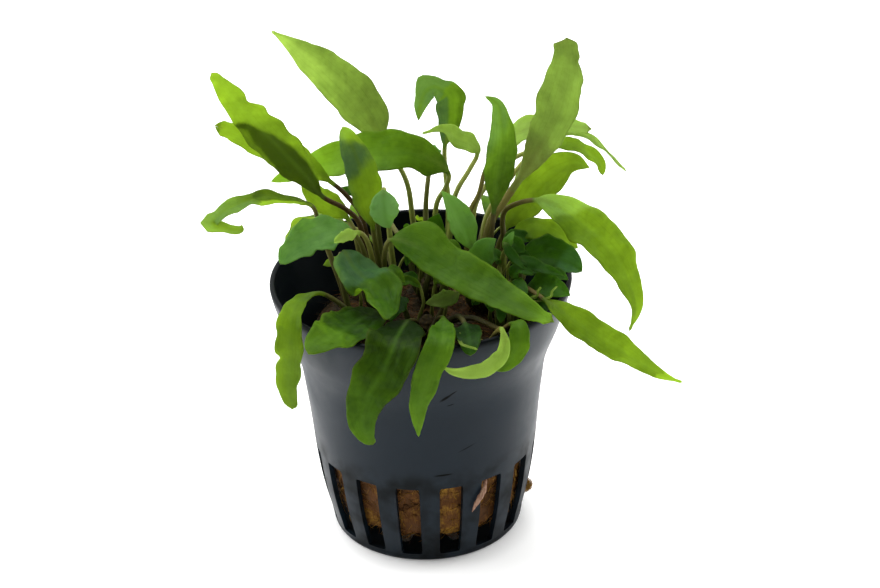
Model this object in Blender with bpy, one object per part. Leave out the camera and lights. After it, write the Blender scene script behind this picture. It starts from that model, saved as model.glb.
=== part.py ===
"""A potted cryptocoryne: a slotted growing pot, a plug of rock wool and the rosettes of leaves in it.

The frame is metres, +Z up. The origin is the centre of the pot's flat underside, and +Y points away
from the front. Every size below is in millimetres.
"""

import math
from dataclasses import dataclass

import bmesh
import bpy
from mathutils import Vector

MM = 0.001
# The gap between pieces that touch.
GAP = 0.3
SHARP_ANGLE = math.radians(40)

POT_HEIGHT = 50.0
POT_WALL = 1.0
POT_SIDES = 48
FLOOR_THICKNESS = 1.2
RIM_ROUNDING = 0.1
# Radius and height up the outside of the pot: a rounded foot, a slow taper, a flare and a wide collar.
POT_OUTSIDE = (
    (16.6, 0.0),
    (17.5, 0.8),
    (19.3, 8.0),
    (20.3, 15.0),
    (21.2, 25.0),
    (22.6, 36.4),
    (24.6, 39.4),
    (27.5, POT_HEIGHT - 0.5),
    (27.2, POT_HEIGHT),
)
COLLAR_STARTS = 37.0
SLOT_COUNT = 16
SLOT_SPREAD = math.radians(12.2)
SLOT_TURN = math.radians(1.5)
SLOT_BOTTOM = 1.6
SLOT_TOP = 17.2
# The slot and drain cutters reach past the wall and the floor on both sides.
SLOT_REACH = (13.0, 26.0)
DRAIN_REACH = (-1.0, 3.0)
DRAIN_COUNT = 8
DRAIN_INNER = 6.5
DRAIN_OUTER = 13.5
DRAIN_WIDTH = 2.6

WOOL_BOTTOM = 4.8
WOOL_TOP = 41.0
WOOL_SHOULDER = 39.6
WOOL_RADIUS_TOP = 19.6
WOOL_EDGE_TOP = 1.6
WOOL_EDGE_BOTTOM = 1.0
WOOL_SIDES = 32
TUFT_BEARING = math.radians(-9.75)
TUFT_SIZE = (2.4, 1.4, 1.5)
TUFT_HEIGHT = 7.3
TUFT_REACH = 17.6

CROWN_SIDES = 10
# Radius and height of a crown, measured from the wool it stands on.
CROWN_OUTSIDE = ((1.7, 0.0), (2.2, 1.2), (1.9, 2.6), (1.1, 3.8), (0.3, 4.3))
CROWN_RADIUS = 2.2
CROWN_FOOT = 1.5
CROWNS = {
    "left": (-7.0, 5.0),
    "back": (1.5, 8.0),
    "rear": (9.0, 14.5),
    "right": (11.5, 4.0),
    "far_right": (15.0, -4.5),
    "front": (1.0, -7.0),
    "front_left": (-9.5, -5.0),
}

STALK_BASE = 0.75
STALK_TOP = 0.5
STALK_STATIONS = 4
BLADE_STATIONS = 8
SHORT_BLADE = 13.0
SHORT_BLADE_STATIONS = 6
MIDRIB_THICKNESS = 0.6
EDGE_THICKNESS = 0.34
# The share of the blade over which the round stalk flattens.
FLAT_FROM = 0.25


@dataclass(frozen=True)
class Leaf:
    """One leaf: its stalk and blade follow one route up from a crown.

    bearing is where round the crown its stalk starts, in degrees from +X, and None is the crown's middle.
    route holds the points that its midrib passes, and its blade starts at the point numbered blade.
    face is the way that the upper side looks at the blade's foot, and tip_face at its tip.
    widest is where along the blade it is widest, foot and sharp how fast it narrows to its foot and tip,
    cup how far its two halves fold up, in degrees, blunt the half width left at its tip, and stout how
    thick its stalk is beside the others.
    """

    crown: str
    bearing: float
    route: tuple
    blade: int
    width: float
    face: tuple
    tip_face: tuple = None
    widest: float = 0.4
    foot: float = 1.0
    sharp: float = 0.8
    blunt: float = 0.3
    cup: float = 8.0
    stout: float = 1.0


LEAVES = {
    "leaf_back_left_tall": Leaf(
        crown="back", bearing=120, blade=2, width=8.2, widest=0.33, foot=0.7, sharp=1.0, blunt=0.35,
        face=(0.2, -0.85, 0.5),
        route=(
            (-1.2, 12.5, 55), (-2.3, 14, 62.5), (-6.4, 15.5, 69.8), (-9.8, 17, 75.5), (-14.5, 18.5, 81),
            (-20.2, 20.5, 85.3), (-25.7, 22, 89),
        ),
    ),
    "leaf_left_long": Leaf(
        crown="left", bearing=155, blade=2, width=6.8, widest=0.4, foot=0.9, sharp=0.55, blunt=1.1,
        face=(-0.2, -0.85, 0.5),
        route=(
            (-10.5, 7, 55.8), (-13, 7, 60), (-17.2, 6, 63.3), (-20.4, 5, 68.6), (-24.7, 4.5, 74.3),
            (-29.3, 4, 80.3), (-35.2, 3, 89.2),
        ),
    ),
    "leaf_left_under": Leaf(
        crown="left", bearing=120, blade=2, width=5.8, widest=0.45, sharp=0.5, blunt=1.5,
        face=(0, -0.75, 0.65),
        route=(
            (-10.3, 10.5, 56), (-12.8, 12, 60), (-15.5, 12.3, 62.8), (-20, 12, 66.6), (-25.5, 12, 70),
            (-31, 12, 72.9), (-36.4, 12.5, 74.9),
        ),
    ),
    "leaf_across": Leaf(
        crown="back", bearing=52, blade=2, width=7.6, widest=0.35, foot=0.75, sharp=0.7,
        face=(0, -0.8, 0.6),
        route=(
            (3, 11.5, 57), (5, 11.2, 62), (5.5, 10.5, 65.2), (2.4, 10, 68.3), (-3, 10, 70),
            (-10, 12.8, 68.4), (-17.5, 16.5, 64.9), (-27.2, 18.5, 60.6),
        ),
    ),
    "leaf_left_hook": Leaf(
        crown="front_left", bearing=165, blade=4, width=3.5, widest=0.45, foot=0.8, sharp=0.35, blunt=1.15,
        cup=10,
        face=(0, -0.35, 0.95),
        route=(
            (-14.5, -1.5, 50), (-16.3, 1, 54.5), (-17.8, 2.8, 58.5), (-18.2, 2.8, 61), (-19.2, 1, 64.2),
            (-23.2, -1.5, 66.6), (-28, -3, 67.7), (-32.3, -4, 66.7), (-36.2, -4.5, 64.1),
            (-34, -5, 62.8), (-30.8, -5.5, 62.6),
        ),
    ),
    "leaf_left_broad": Leaf(
        crown="left", bearing=223, blade=1, width=7.4, foot=0.8, sharp=0.6,
        face=(0, -0.55, 0.83),
        route=(
            (-10, 1.5, 54), (-12.1, 0.3, 59), (-15, -0.8, 59.8), (-19, -2.5, 59.4), (-22.3, -4.5, 58.2),
            (-24.7, -6.5, 56.4),
        ),
    ),
    "leaf_left_inner": Leaf(
        crown="left", bearing=189, blade=1, width=4.6, sharp=0.6,
        face=(0, -0.8, 0.6),
        route=(
            (-11.4, 6.2, 54), (-12.8, 8.5, 57.2), (-15.5, 8.8, 59.8), (-18.5, 8.5, 62.3),
            (-21, 8.5, 65.6),
        ),
    ),
    "leaf_left_pale": Leaf(
        crown="left", bearing=257, blade=2, width=2.4, sharp=0.5,
        face=(0, -0.5, 0.87),
        route=(
            (-8.5, 0, 53), (-9.4, -1.6, 58.3), (-10.8, -2.8, 60.4), (-12.8, -4.2, 60.4),
            (-15, -5.4, 59.8),
        ),
    ),
    "leaf_left_crinkled": Leaf(
        crown="front_left", bearing=205, blade=2, width=8.4, widest=0.42, foot=0.45, sharp=0.65,
        face=(0.4, -0.7, 0.6),
        route=(
            (-13.4, -5.5, 49), (-14.4, -4.6, 55), (-13.5, -5, 57.7), (-12, -7.6, 56.4),
            (-10.2, -10, 55.4), (-7.9, -12.6, 54.6), (-6.4, -16.2, 53.7), (-6.1, -21, 52.5),
        ),
    ),
    "leaf_front_left_broad": Leaf(
        crown="front_left", bearing=285, blade=0, width=9.4, widest=0.5, foot=0.7, sharp=0.55,
        face=(-0.1, -0.5, 0.86),
        route=(
            (-7.4, -9.8, 47.6), (-9, -13.6, 49.6), (-12, -19.5, 50.8), (-15, -24.3, 51.7),
            (-17.6, -27.2, 51.6), (-19.2, -29.2, 50.8),
        ),
    ),
    "leaf_left_hanging": Leaf(
        crown="front_left", bearing=240, blade=1, width=5.4, widest=0.62, foot=0.9, sharp=0.3, blunt=1.0,
        face=(0, -0.2, 1), tip_face=(-0.5, -0.8, 0.2),
        route=(
            (-13.2, -8.5, 48), (-17.2, -8.8, 51.4), (-20, -12, 52.8), (-21.8, -15.8, 53),
            (-22.8, -18.8, 50.6), (-23, -19.6, 46.9), (-23.2, -19.4, 42.3), (-23.7, -19.2, 38.2),
            (-23.2, -19, 34),
        ),
    ),
    "leaf_front_big": Leaf(
        crown="front", bearing=240, blade=1, width=9.3, widest=0.36, foot=0.7, sharp=0.6, blunt=1.2,
        face=(0, -0.3, 0.95), tip_face=(-0.2, -1, 0.1),
        route=(
            (-1, -11.5, 46.8), (-2.2, -14.5, 48.6), (-3, -19, 50), (-3.7, -23.5, 51.2),
            (-4.5, -27.3, 51.6), (-5.5, -29.4, 49.9), (-7.3, -30.2, 46.4), (-9.4, -30.6, 42.7),
            (-10.5, -30.5, 38.6), (-10.1, -30, 35.1), (-8.9, -29.5, 32.7),
        ),
    ),
    "leaf_front_narrow": Leaf(
        crown="front", bearing=275, blade=1, width=5.0, widest=0.5, foot=0.8, sharp=0.8,
        face=(0, -0.3, 0.95), tip_face=(0.1, -1, 0.1),
        route=(
            (2.8, -11, 46.8), (3.8, -14, 48.8), (3.9, -19, 50.4), (3.6, -25, 51.8), (3.3, -28, 51.9),
            (2.6, -29.6, 50.6), (1, -30.4, 47.4), (0, -30.6, 43.9), (-0.8, -30.4, 40.7),
            (-1, -30, 37.3), (-1, -29.4, 34),
        ),
    ),
    "leaf_diagonal": Leaf(
        crown="left", bearing=293, blade=2, width=7.8, widest=0.3, foot=0.55, sharp=0.6, blunt=1.3,
        face=(0.1, -0.6, 0.8),
        route=(
            (-6.4, 0, 51.5), (-6.1, -3, 56.8), (-4.8, -4.2, 59.4), (0, -5.5, 58.3), (6, -8.5, 55.6),
            (12, -12.5, 53.5), (17.4, -16.5, 51.8), (23, -20, 50.5),
        ),
    ),
    "leaf_centre_pointed": Leaf(
        crown="right", bearing=195, blade=1, width=5.0, foot=0.7, sharp=0.9,
        face=(0.2, -0.9, 0.4),
        route=(
            (9.6, 2.4, 50), (9.3, 2, 54), (8, 2, 58.5), (6.5, 2.5, 62), (4.2, 3, 65.2),
        ),
    ),
    "leaf_back_low": Leaf(
        crown="back", bearing=250, blade=1, width=5.2, foot=0.6,
        face=(0, -0.9, 0.45),
        route=(
            (1.5, 5.8, 47), (1.6, 7.2, 50.5), (2, 8.2, 52.8), (2.8, 8.8, 55.4), (3.6, 9, 57.8),
        ),
    ),
    "leaf_folded": Leaf(
        crown="back", bearing=8, blade=2, width=5.0, widest=0.42, foot=0.7, sharp=0.75,
        face=(0.1, -0.95, 0.3),
        route=(
            (5.4, 11.5, 57), (5, 13.4, 64), (5, 13.6, 69), (5.9, 13.6, 73.4), (6.1, 13.5, 76.9),
            (5.8, 13.4, 79.2), (3.6, 13, 81), (1.9, 12.6, 80.5), (0.9, 12.2, 78.4), (0.4, 12, 75),
        ),
    ),
    "leaf_middle_hook": Leaf(
        crown="back", bearing=330, blade=3, width=4.0, widest=0.3, foot=0.6, sharp=1.5,
        face=(0, -0.5, 0.85),
        route=(
            (5.4, 7, 54), (6.6, 7.4, 62), (9.2, 7.8, 66.8), (10.8, 7.6, 70.2), (9.6, 7.3, 72.3),
            (7.6, 7, 73.4), (4.6, 6.8, 75.6), (1, 6.5, 75),
        ),
    ),
    "leaf_middle_right": Leaf(
        crown="right", bearing=155, blade=2, width=5.6, widest=0.45, sharp=0.5, blunt=1.5,
        face=(0, -0.35, 0.95),
        route=(
            (8.8, 8.6, 56), (11, 10.2, 61), (12.2, 11, 65.2), (14.6, 12, 69), (19.5, 13, 72),
            (25.5, 14, 72.4), (32, 15, 70.9),
        ),
    ),
    "leaf_centre_upright": Leaf(
        crown="right", bearing=272, blade=2, width=5.5, widest=0.42, foot=0.9, sharp=0.8,
        face=(0.1, -0.9, 0.4),
        route=(
            (12.4, 0.8, 52), (13, 1.2, 58), (13.4, 1.5, 61.5), (14.2, 1.5, 68), (15, 1.5, 74.5),
            (14.9, 1.5, 79), (14.2, 1.5, 82.5), (12.2, 1.5, 84),
        ),
    ),
    "leaf_tall_right": Leaf(
        crown="right", bearing=None, blade=3, width=7.6, widest=0.58, foot=1.1, sharp=0.5, blunt=1.75,
        stout=1.6,
        face=(-0.3, -0.9, 0.3),
        route=(
            (12, 5, 53), (13, 5.5, 57.7), (15, 5.5, 61), (17, 5.3, 64.2), (19.7, 5, 68.6),
            (22.2, 4.5, 73.4), (24.3, 4, 78.5), (25.8, 3.5, 84.3), (26.6, 3, 89.6), (26.2, 2.5, 94.2),
        ),
    ),
    "leaf_right_bright": Leaf(
        crown="right", bearing=55, blade=1, width=8.2, widest=0.45, foot=0.8, sharp=0.9,
        face=(0, -0.75, 0.65),
        route=(
            (14, 8.4, 50), (15.7, 9, 54.3), (18.5, 10, 58.3), (21.6, 10.5, 62.2), (24.9, 11, 64.8),
            (28.3, 11.5, 66), (31.2, 12, 64.7),
        ),
    ),
    "leaf_right_back_curl": Leaf(
        crown="right", bearing=121, blade=3, width=3.4, sharp=0.5,
        face=(0, -0.4, 0.9),
        route=(
            (9.8, 10.5, 56), (12.4, 13.5, 61), (17, 15.5, 65), (22, 16.5, 66.7), (27, 17, 67.3),
            (30.6, 17, 65.9), (33.3, 16.5, 63.6), (33.9, 16, 61.2),
        ),
    ),
    "leaf_right_back_narrow": Leaf(
        crown="right", bearing=88, blade=2, width=2.6, sharp=0.7,
        face=(0, -0.2, 1),
        route=(
            (12, 12, 54), (17, 16.5, 61), (23, 19.5, 66.5), (28, 20.5, 68.2), (32.3, 21, 66.3),
            (35.4, 21.5, 63), (38.6, 22, 59.1),
        ),
    ),
    "leaf_right_drooping": Leaf(
        crown="right", bearing=22, blade=3, width=7.8, widest=0.36, foot=0.7, sharp=1.1,
        face=(0.3, -0.75, 0.6),
        route=(
            (15.2, 6.6, 52), (15.2, 7, 58), (17, 6.2, 60.4), (21, 4, 62.4), (24.9, 1.5, 62.1),
            (29.4, -1.5, 59.9), (32.8, -4, 57.5), (35.4, -5.5, 54.2), (37.8, -6.5, 48.7),
            (38.3, -7, 45), (37.1, -7.5, 41.4),
        ),
    ),
    "leaf_right_low_long": Leaf(
        crown="far_right", bearing=130, blade=3, width=5.5, widest=0.35, foot=0.8, sharp=1.0,
        face=(0.2, -0.7, 0.7),
        route=(
            (14.2, -3, 49), (17.2, -7, 51.2), (20, -10.5, 51.4), (21.7, -13.5, 51.5),
            (24.7, -16.5, 50.8), (30.2, -19, 47.4), (35.1, -20.5, 44.7), (39, -21.5, 42.2),
            (42.1, -22, 40.3), (45.2, -22.5, 39.3),
        ),
    ),
    "leaf_right_arching": Leaf(
        crown="right", bearing=312, blade=1, width=4.6, sharp=0.6,
        face=(0, -0.6, 0.8),
        route=(
            (15, 1.8, 50), (16.2, 3, 55), (20, 3.6, 56.9), (24.5, 3.2, 55.9), (28.5, 2.4, 53.3),
        ),
    ),
    "leaf_far_right_upper": Leaf(
        crown="far_right", bearing=15, blade=1, width=8.2, foot=0.6, sharp=0.7, cup=16,
        face=(0.2, -0.6, 0.75),
        route=(
            (17.9, -2.2, 49.5), (18.1, -1, 52), (20.4, -1.3, 53.3), (23.6, -2.2, 53.8),
            (26.6, -2.9, 53.1), (28.9, -3.4, 51.6),
        ),
    ),
    "leaf_far_right_lower": Leaf(
        crown="far_right", bearing=330, blade=1, width=5.6, foot=0.8, sharp=0.8, cup=14,
        face=(0.2, -0.65, 0.7),
        route=(
            (18.2, -5.6, 48), (18.6, -6.8, 50), (21, -8.6, 51.3), (24, -10.2, 51.7),
            (26.3, -11.1, 50.9),
        ),
    ),
    "leaf_front_curl": Leaf(
        crown="front", bearing=308, blade=4, width=2.9, widest=0.55, foot=0.6, sharp=0.7,
        face=(0.4, -0.5, 0.8), tip_face=(0, -0.95, -0.3),
        route=(
            (5.6, -10.2, 44.6), (8.8, -14.4, 44.9), (11.4, -18.6, 46.2), (13, -21.8, 49.9),
            (13.8, -24.4, 52), (14.2, -26.2, 50.6), (13.6, -27.2, 48.4), (11.6, -28.2, 46.9),
            (8.6, -29.2, 46.4), (5.6, -29.8, 46.9), (3.6, -29.9, 47.8),
        ),
    ),
    "leaf_centre_small": Leaf(
        crown="front", bearing=50, blade=1, width=3.6,
        face=(0, -0.6, 0.8),
        route=(
            (5.4, -5, 48.5), (6.6, -7.6, 50.2), (4.5, -9.3, 50), (0.8, -10, 49.6),
        ),
    ),
    "leaf_front_inner": Leaf(
        crown="front", bearing=340, blade=2, width=4.8, foot=0.7, sharp=0.4,
        face=(0, -0.7, 0.7),
        route=(
            (5.6, -10, 46.4), (6.8, -13.2, 48.4), (7.6, -18, 49.6), (8, -22.5, 50.5), (8.2, -26, 50.9),
            (8.3, -28.8, 49.4),
        ),
    ),
    "leaf_front_right_strap": Leaf(
        crown="front", bearing=14, blade=3, width=3.8, sharp=0.5,
        face=(0.1, -0.5, 0.85), tip_face=(0.2, -0.95, 0.2),
        route=(
            (8.4, -9.5, 46.2), (11.4, -13.2, 47), (13.8, -17.2, 48), (15.6, -20.6, 50.9),
            (16.8, -23, 51.6), (16.7, -24.8, 49.8), (15.9, -25.6, 47.6), (14.3, -26, 45.8),
            (12.4, -26.5, 45.2),
        ),
    ),
    "leaf_centre_left_small": Leaf(
        crown="left", bearing=330, blade=3, width=5.4, widest=0.45, foot=0.6, sharp=0.85,
        face=(0, -0.9, 0.4),
        route=(
            (-5.2, 3.2, 54), (-5.6, 3, 62), (-6, 2, 66), (-6.1, 1, 66.6), (-6.1, 0, 64.6),
            (-5.9, -0.6, 62), (-5.2, -0.9, 60),
        ),
    ),
    "leaf_upright_left": Leaf(
        crown="left", bearing=None, blade=1, width=6.0, widest=0.4, foot=0.8, sharp=0.45, blunt=1.0,
        face=(0, -0.95, 0.3),
        route=(
            (-7.9, 4.8, 53), (-8.4, 4.4, 57.5), (-8.9, 4.1, 62), (-9.3, 4.1, 66), (-10.2, 4.1, 70),
            (-11.4, 4.1, 73.8), (-12.9, 4.1, 77.8),
        ),
    ),
    "leaf_left_behind": Leaf(
        crown="left", bearing=85, blade=1, width=2.6,
        face=(0, -0.6, 0.8),
        route=(
            (-7.4, 10.5, 52), (-8.4, 12, 58.5), (-11.5, 13, 60.6), (-14.8, 13.4, 61.2),
        ),
    ),
    "leaf_back_left": Leaf(
        crown="back", bearing=155, blade=2, width=6.0,
        face=(0, 0.1, 1), tip_face=(0, 1, 0.2),
        route=(
            (-2.2, 12, 48.5), (-4.8, 17, 51), (-7, 21, 52.5), (-9, 25.5, 52.6), (-10.3, 28.6, 49.5),
            (-11, 30, 44), (-11, 29.5, 38),
        ),
    ),
    "leaf_back_far_left": Leaf(
        crown="left", bearing=50, blade=2, width=6.4,
        face=(-0.2, 0.3, 1), tip_face=(-0.6, 0.8, 0.1),
        route=(
            (-5.6, 11, 47.5), (-9, 15, 50), (-13.5, 17.5, 51.8), (-18, 20.5, 52.6), (-21.6, 23.2, 50),
            (-23.2, 24.6, 44), (-22.8, 24.2, 37),
        ),
    ),
    "leaf_back_right": Leaf(
        crown="back", bearing=None, blade=2, width=5.0,
        face=(0, 0.1, 1),
        route=(
            (1.2, 12.5, 56), (1.7, 14.2, 61.5), (2.3, 16.8, 64.2), (2, 20.5, 65), (0, 25.5, 62),
        ),
    ),
    "leaf_back_far_right": Leaf(
        crown="far_right", bearing=50, blade=2, width=5.0,
        face=(0.2, 0.3, 1), tip_face=(0.8, 0.5, 0.2),
        route=(
            (18.6, 2.5, 48), (21.5, 6.5, 50.6), (24, 10, 52), (26.2, 13, 51.6), (27, 14.8, 48.8),
            (26.4, 15.4, 45.6),
        ),
    ),
    "leaf_rear_hanging": Leaf(
        crown="rear", bearing=60, blade=1, width=6.6,
        face=(0.1, 0.2, 1), tip_face=(0.5, 0.85, 0.1),
        route=(
            (11.4, 19.5, 47.5), (12.4, 22, 50.4), (13.6, 25, 51.9), (14.8, 27.8, 50.4),
            (15.6, 28.9, 45), (15.4, 28.5, 37.5),
        ),
    ),
    "leaf_rear_small": Leaf(
        crown="rear", bearing=150, blade=1, width=4.4,
        face=(0, 0.5, 0.85), tip_face=(0, 0.9, 0.4),
        route=(
            (5, 17.5, 46.6), (3.6, 19.4, 49), (1.4, 22.4, 49.8), (-0.6, 25.2, 48.6),
        ),
    ),
    "leaf_middle_low": Leaf(
        crown="right", bearing=234, blade=1, width=5.0, foot=0.7,
        face=(0.1, -0.75, 0.6),
        route=(
            (9.2, -0.4, 47), (9.8, -1.8, 51), (10.6, -2.4, 54), (11.9, -2.8, 56.8), (13.6, -3, 58.4),
        ),
    ),
    "leaf_front_shaded": Leaf(
        crown="front", bearing=180, blade=1, width=4.8, foot=0.6,
        face=(-0.1, -0.3, 0.95),
        route=(
            (-3, -6.9, 47), (-3.6, -7.8, 49.6), (-4.2, -9.8, 50.2), (-4.8, -12.2, 49.8),
            (-5.4, -14.8, 48.8),
        ),
    ),
}

# Each root shows in a slot of the pot, from the wool's side outwards.
ROOTS = {
    "root_in_slot": (
        (10.7, -16.5, 16.5), (10.3, -18.0, 15.3), (9.5, -18.45, 13.9), (8.65, -18.55, 12.3), (8.1, -18.5, 11.0),
    ),
}
ROOT_RADIUS = 0.55
ROOT_TIP_SHARE = 0.25
ROOT_SIDES = 6


def clear_scene():
    """Removes whatever the file opened with."""
    for thing in list(bpy.data.objects):
        bpy.data.objects.remove(thing)


def make_material(name, colour, roughness):
    """A plain Principled finish for a whole sub-part."""
    material = bpy.data.materials.new(name)
    material.use_nodes = True
    shader = material.node_tree.nodes["Principled BSDF"]
    shader.inputs["Base Color"].default_value = (*colour, 1.0)
    shader.inputs["Roughness"].default_value = roughness
    return material


def add_object(name, shape, material=None):
    """Turns a bmesh in millimetres into an object in metres."""
    bmesh.ops.scale(shape, vec=(MM, MM, MM), verts=shape.verts)
    bmesh.ops.recalc_face_normals(shape, faces=shape.faces)
    mesh = bpy.data.meshes.new(name)
    shape.to_mesh(mesh)
    shape.free()
    mesh.shade_smooth()
    mesh.set_sharp_from_angle(angle=SHARP_ANGLE)
    made = bpy.data.objects.new(name, mesh)
    bpy.context.scene.collection.objects.link(made)
    if material:
        mesh.materials.append(material)
    return made


def on_circle(radius, angle, height):
    """The point at a radius, a direction and a height."""
    return Vector((radius * math.cos(angle), radius * math.sin(angle), height))


def bridge(shape, lower, upper):
    """Joins two rings of as many vertices with faces."""
    count = len(lower)
    for i in range(count):
        j = (i + 1) % count
        shape.faces.new((lower[i], lower[j], upper[j], upper[i]))


def loft(rings):
    """A closed solid through rings of points, with a flat cap on each end."""
    shape = bmesh.new()
    made = [[shape.verts.new(point) for point in ring] for ring in rings]
    for lower, upper in zip(made, made[1:]):
        bridge(shape, lower, upper)
    shape.faces.new(made[0])
    shape.faces.new(made[-1])
    return shape


def turned(outline, sides, centre=(0.0, 0.0, 0.0)):
    """A solid of revolution: outline is its radii and heights, from the bottom up."""
    middle = Vector(centre)
    angles = [2 * math.pi * i / sides for i in range(sides)]
    return loft([[middle + on_circle(r, a, z) for a in angles] for r, z in outline])


def outside_radius(height):
    """The pot's outer radius at a height."""
    for (r0, z0), (r1, z1) in zip(POT_OUTSIDE, POT_OUTSIDE[1:]):
        if z0 <= height <= z1:
            return r0 + (r1 - r0) * (height - z0) / (z1 - z0)
    return POT_OUTSIDE[-1][0]


def block(shape, corners):
    """Adds a closed block to a cutter: its lower four corners in order, then its upper four."""
    verts = [shape.verts.new(corner) for corner in corners]
    bridge(shape, verts[:4], verts[4:])
    shape.faces.new(verts[:4])
    shape.faces.new(verts[4:])


def wedge(shape, radii, middle, spread, heights):
    """Adds a block between two radii and two directions to a cutter."""
    inner, outer = radii
    block(shape, [
        on_circle(radius, middle + side * spread / 2, height)
        for height in heights
        for radius, side in ((inner, -1), (outer, -1), (outer, 1), (inner, 1))
    ])


def make_cutter(name, shape):
    """A hidden solid that another one is cut by or joined with."""
    cutter = add_object(name, shape)
    cutter.hide_render = True
    cutter.display_type = "WIRE"
    return cutter


def cut(target, cutter):
    """Cuts one solid's shape out of another."""
    modifier = target.modifiers.new("cut " + cutter.name, "BOOLEAN")
    modifier.operation = "DIFFERENCE"
    modifier.object = cutter
    modifier.solver = "EXACT"


def make_pot(material):
    """The pot: one moulding with a thin wall, side slots and drain slots in its floor."""
    inside = [
        (radius - POT_WALL, height)
        for radius, height in POT_OUTSIDE
        if FLOOR_THICKNESS < height < POT_HEIGHT
    ]
    floor_radius = outside_radius(FLOOR_THICKNESS) - POT_WALL
    outline = (
        list(POT_OUTSIDE)
        + [(POT_OUTSIDE[-1][0] - POT_WALL + RIM_ROUNDING, POT_HEIGHT)]
        + inside[::-1]
        + [(floor_radius, FLOOR_THICKNESS)]
    )
    pot = add_object("pot", turned(outline, POT_SIDES), material)

    slots = bmesh.new()
    for i in range(SLOT_COUNT):
        middle = SLOT_TURN + 2 * math.pi * (i + 0.5) / SLOT_COUNT
        wedge(slots, SLOT_REACH, middle, SLOT_SPREAD, (SLOT_BOTTOM, SLOT_TOP))
    cut(pot, make_cutter("slot_cutter", slots))

    drains = bmesh.new()
    for i in range(DRAIN_COUNT):
        angle = 2 * math.pi * i / DRAIN_COUNT
        along = Vector((math.cos(angle), math.sin(angle), 0))
        across = Vector((-math.sin(angle), math.cos(angle), 0)) * DRAIN_WIDTH / 2
        foot = [along * DRAIN_INNER - across, along * DRAIN_OUTER - across,
                along * DRAIN_OUTER + across, along * DRAIN_INNER + across]
        block(drains, [corner + Vector((0, 0, height)) for height in DRAIN_REACH for corner in foot])
    cut(pot, make_cutter("drain_cutter", drains))
    return pot


def make_wool(material):
    """The plug of rock wool: it fills the pot to just above the flare, with a tuft pushed out of one slot."""
    clear = POT_WALL + GAP
    outline = [(outside_radius(WOOL_BOTTOM) - clear - WOOL_EDGE_BOTTOM, WOOL_BOTTOM)]
    outline += [(r - clear, z) for r, z in POT_OUTSIDE if WOOL_BOTTOM < z < COLLAR_STARTS]
    outline += [(WOOL_RADIUS_TOP, WOOL_SHOULDER), (WOOL_RADIUS_TOP - WOOL_EDGE_TOP, WOOL_TOP)]
    plug = add_object("rock_wool", turned(outline, WOOL_SIDES), material)

    tuft = bmesh.new()
    bmesh.ops.create_icosphere(tuft, subdivisions=1, radius=1.0)
    bmesh.ops.scale(tuft, vec=TUFT_SIZE, verts=tuft.verts)
    turn = Vector((math.cos(TUFT_BEARING), math.sin(TUFT_BEARING), 0))
    side = Vector((-turn.y, turn.x, 0))
    for vert in tuft.verts:
        x, y, z = vert.co
        vert.co = turn * (TUFT_REACH + x) + side * y + Vector((0, 0, TUFT_HEIGHT + z))
    lump = make_cutter("tuft_form", tuft)
    joined = plug.modifiers.new("tuft", "BOOLEAN")
    joined.operation = "UNION"
    joined.object = lump
    joined.solver = "EXACT"
    return plug


def make_crown(name, place, material):
    """The short rootstock that a rosette's leaves grow from, standing on the wool."""
    return add_object(
        "crown_" + name,
        turned(CROWN_OUTSIDE, CROWN_SIDES, (*place, WOOL_TOP + GAP)),
        material,
    )


def leaf_foot(leaf):
    """Where a leaf's stalk starts: against the side of its crown, or on top of it."""
    x, y = CROWNS[leaf.crown]
    if leaf.bearing is None:
        return Vector((x, y, WOOL_TOP + GAP + CROWN_OUTSIDE[-1][1] + GAP))
    reach = CROWN_RADIUS + GAP + STALK_BASE
    angle = math.radians(leaf.bearing)
    return Vector((x, y, 0)) + on_circle(reach, angle, WOOL_TOP + GAP + CROWN_FOOT)


def smooth_route(points, per_span=12):
    """Points along a smooth curve through the given ones, and which of them the given points are."""
    ends = [2 * points[0] - points[1]] + list(points) + [2 * points[-1] - points[-2]]
    samples, marks = [], []
    for a, b, c, d in zip(ends, ends[1:], ends[2:], ends[3:]):
        marks.append(len(samples))
        for i in range(per_span):
            t = i / per_span
            bend = (2 * a - 5 * b + 4 * c - d) * t**2 + (3 * b - a - 3 * c + d) * t**3
            samples.append(0.5 * (2 * b + (c - a) * t + bend))
    marks.append(len(samples))
    samples.append(points[-1])
    return samples, marks


def walk(samples):
    """The distance travelled at each sample."""
    travelled = [0.0]
    for before, after in zip(samples, samples[1:]):
        travelled.append(travelled[-1] + (after - before).length)
    return travelled


def at_distance(samples, travelled, distance):
    """The place and the direction at a distance along a route."""
    for i in range(len(samples) - 1):
        if travelled[i + 1] >= distance or i == len(samples) - 2:
            share = (distance - travelled[i]) / max(travelled[i + 1] - travelled[i], 1e-9)
            before, after = samples[max(i - 1, 0)], samples[min(i + 2, len(samples) - 1)]
            return samples[i].lerp(samples[i + 1], min(max(share, 0.0), 1.0)), (after - before).normalized()
    raise ValueError("a route needs two points")


def blade_share(leaf, t):
    """The blade's width at a share t of its length, as a share of its greatest."""
    if t < leaf.widest:
        return math.sin(math.pi / 2 * t / leaf.widest) ** leaf.foot
    past = (t - leaf.widest) / (1 - leaf.widest)
    return max(math.cos(math.pi / 2 * past), 0.0) ** leaf.sharp


def leaf_section(centre, side, normal, half, cup, middle, edge):
    """Six corners round a leaf: its upper left, middle and right, then its lower right, middle and left."""
    out = side * half * math.cos(cup)
    lift = normal * half * math.sin(cup)
    thick, thin = normal * middle, normal * edge
    return [
        centre - out + lift + thin, centre + thick, centre + out + lift + thin,
        centre + out + lift - thin, centre - thick, centre - out + lift - thin,
    ]


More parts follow.
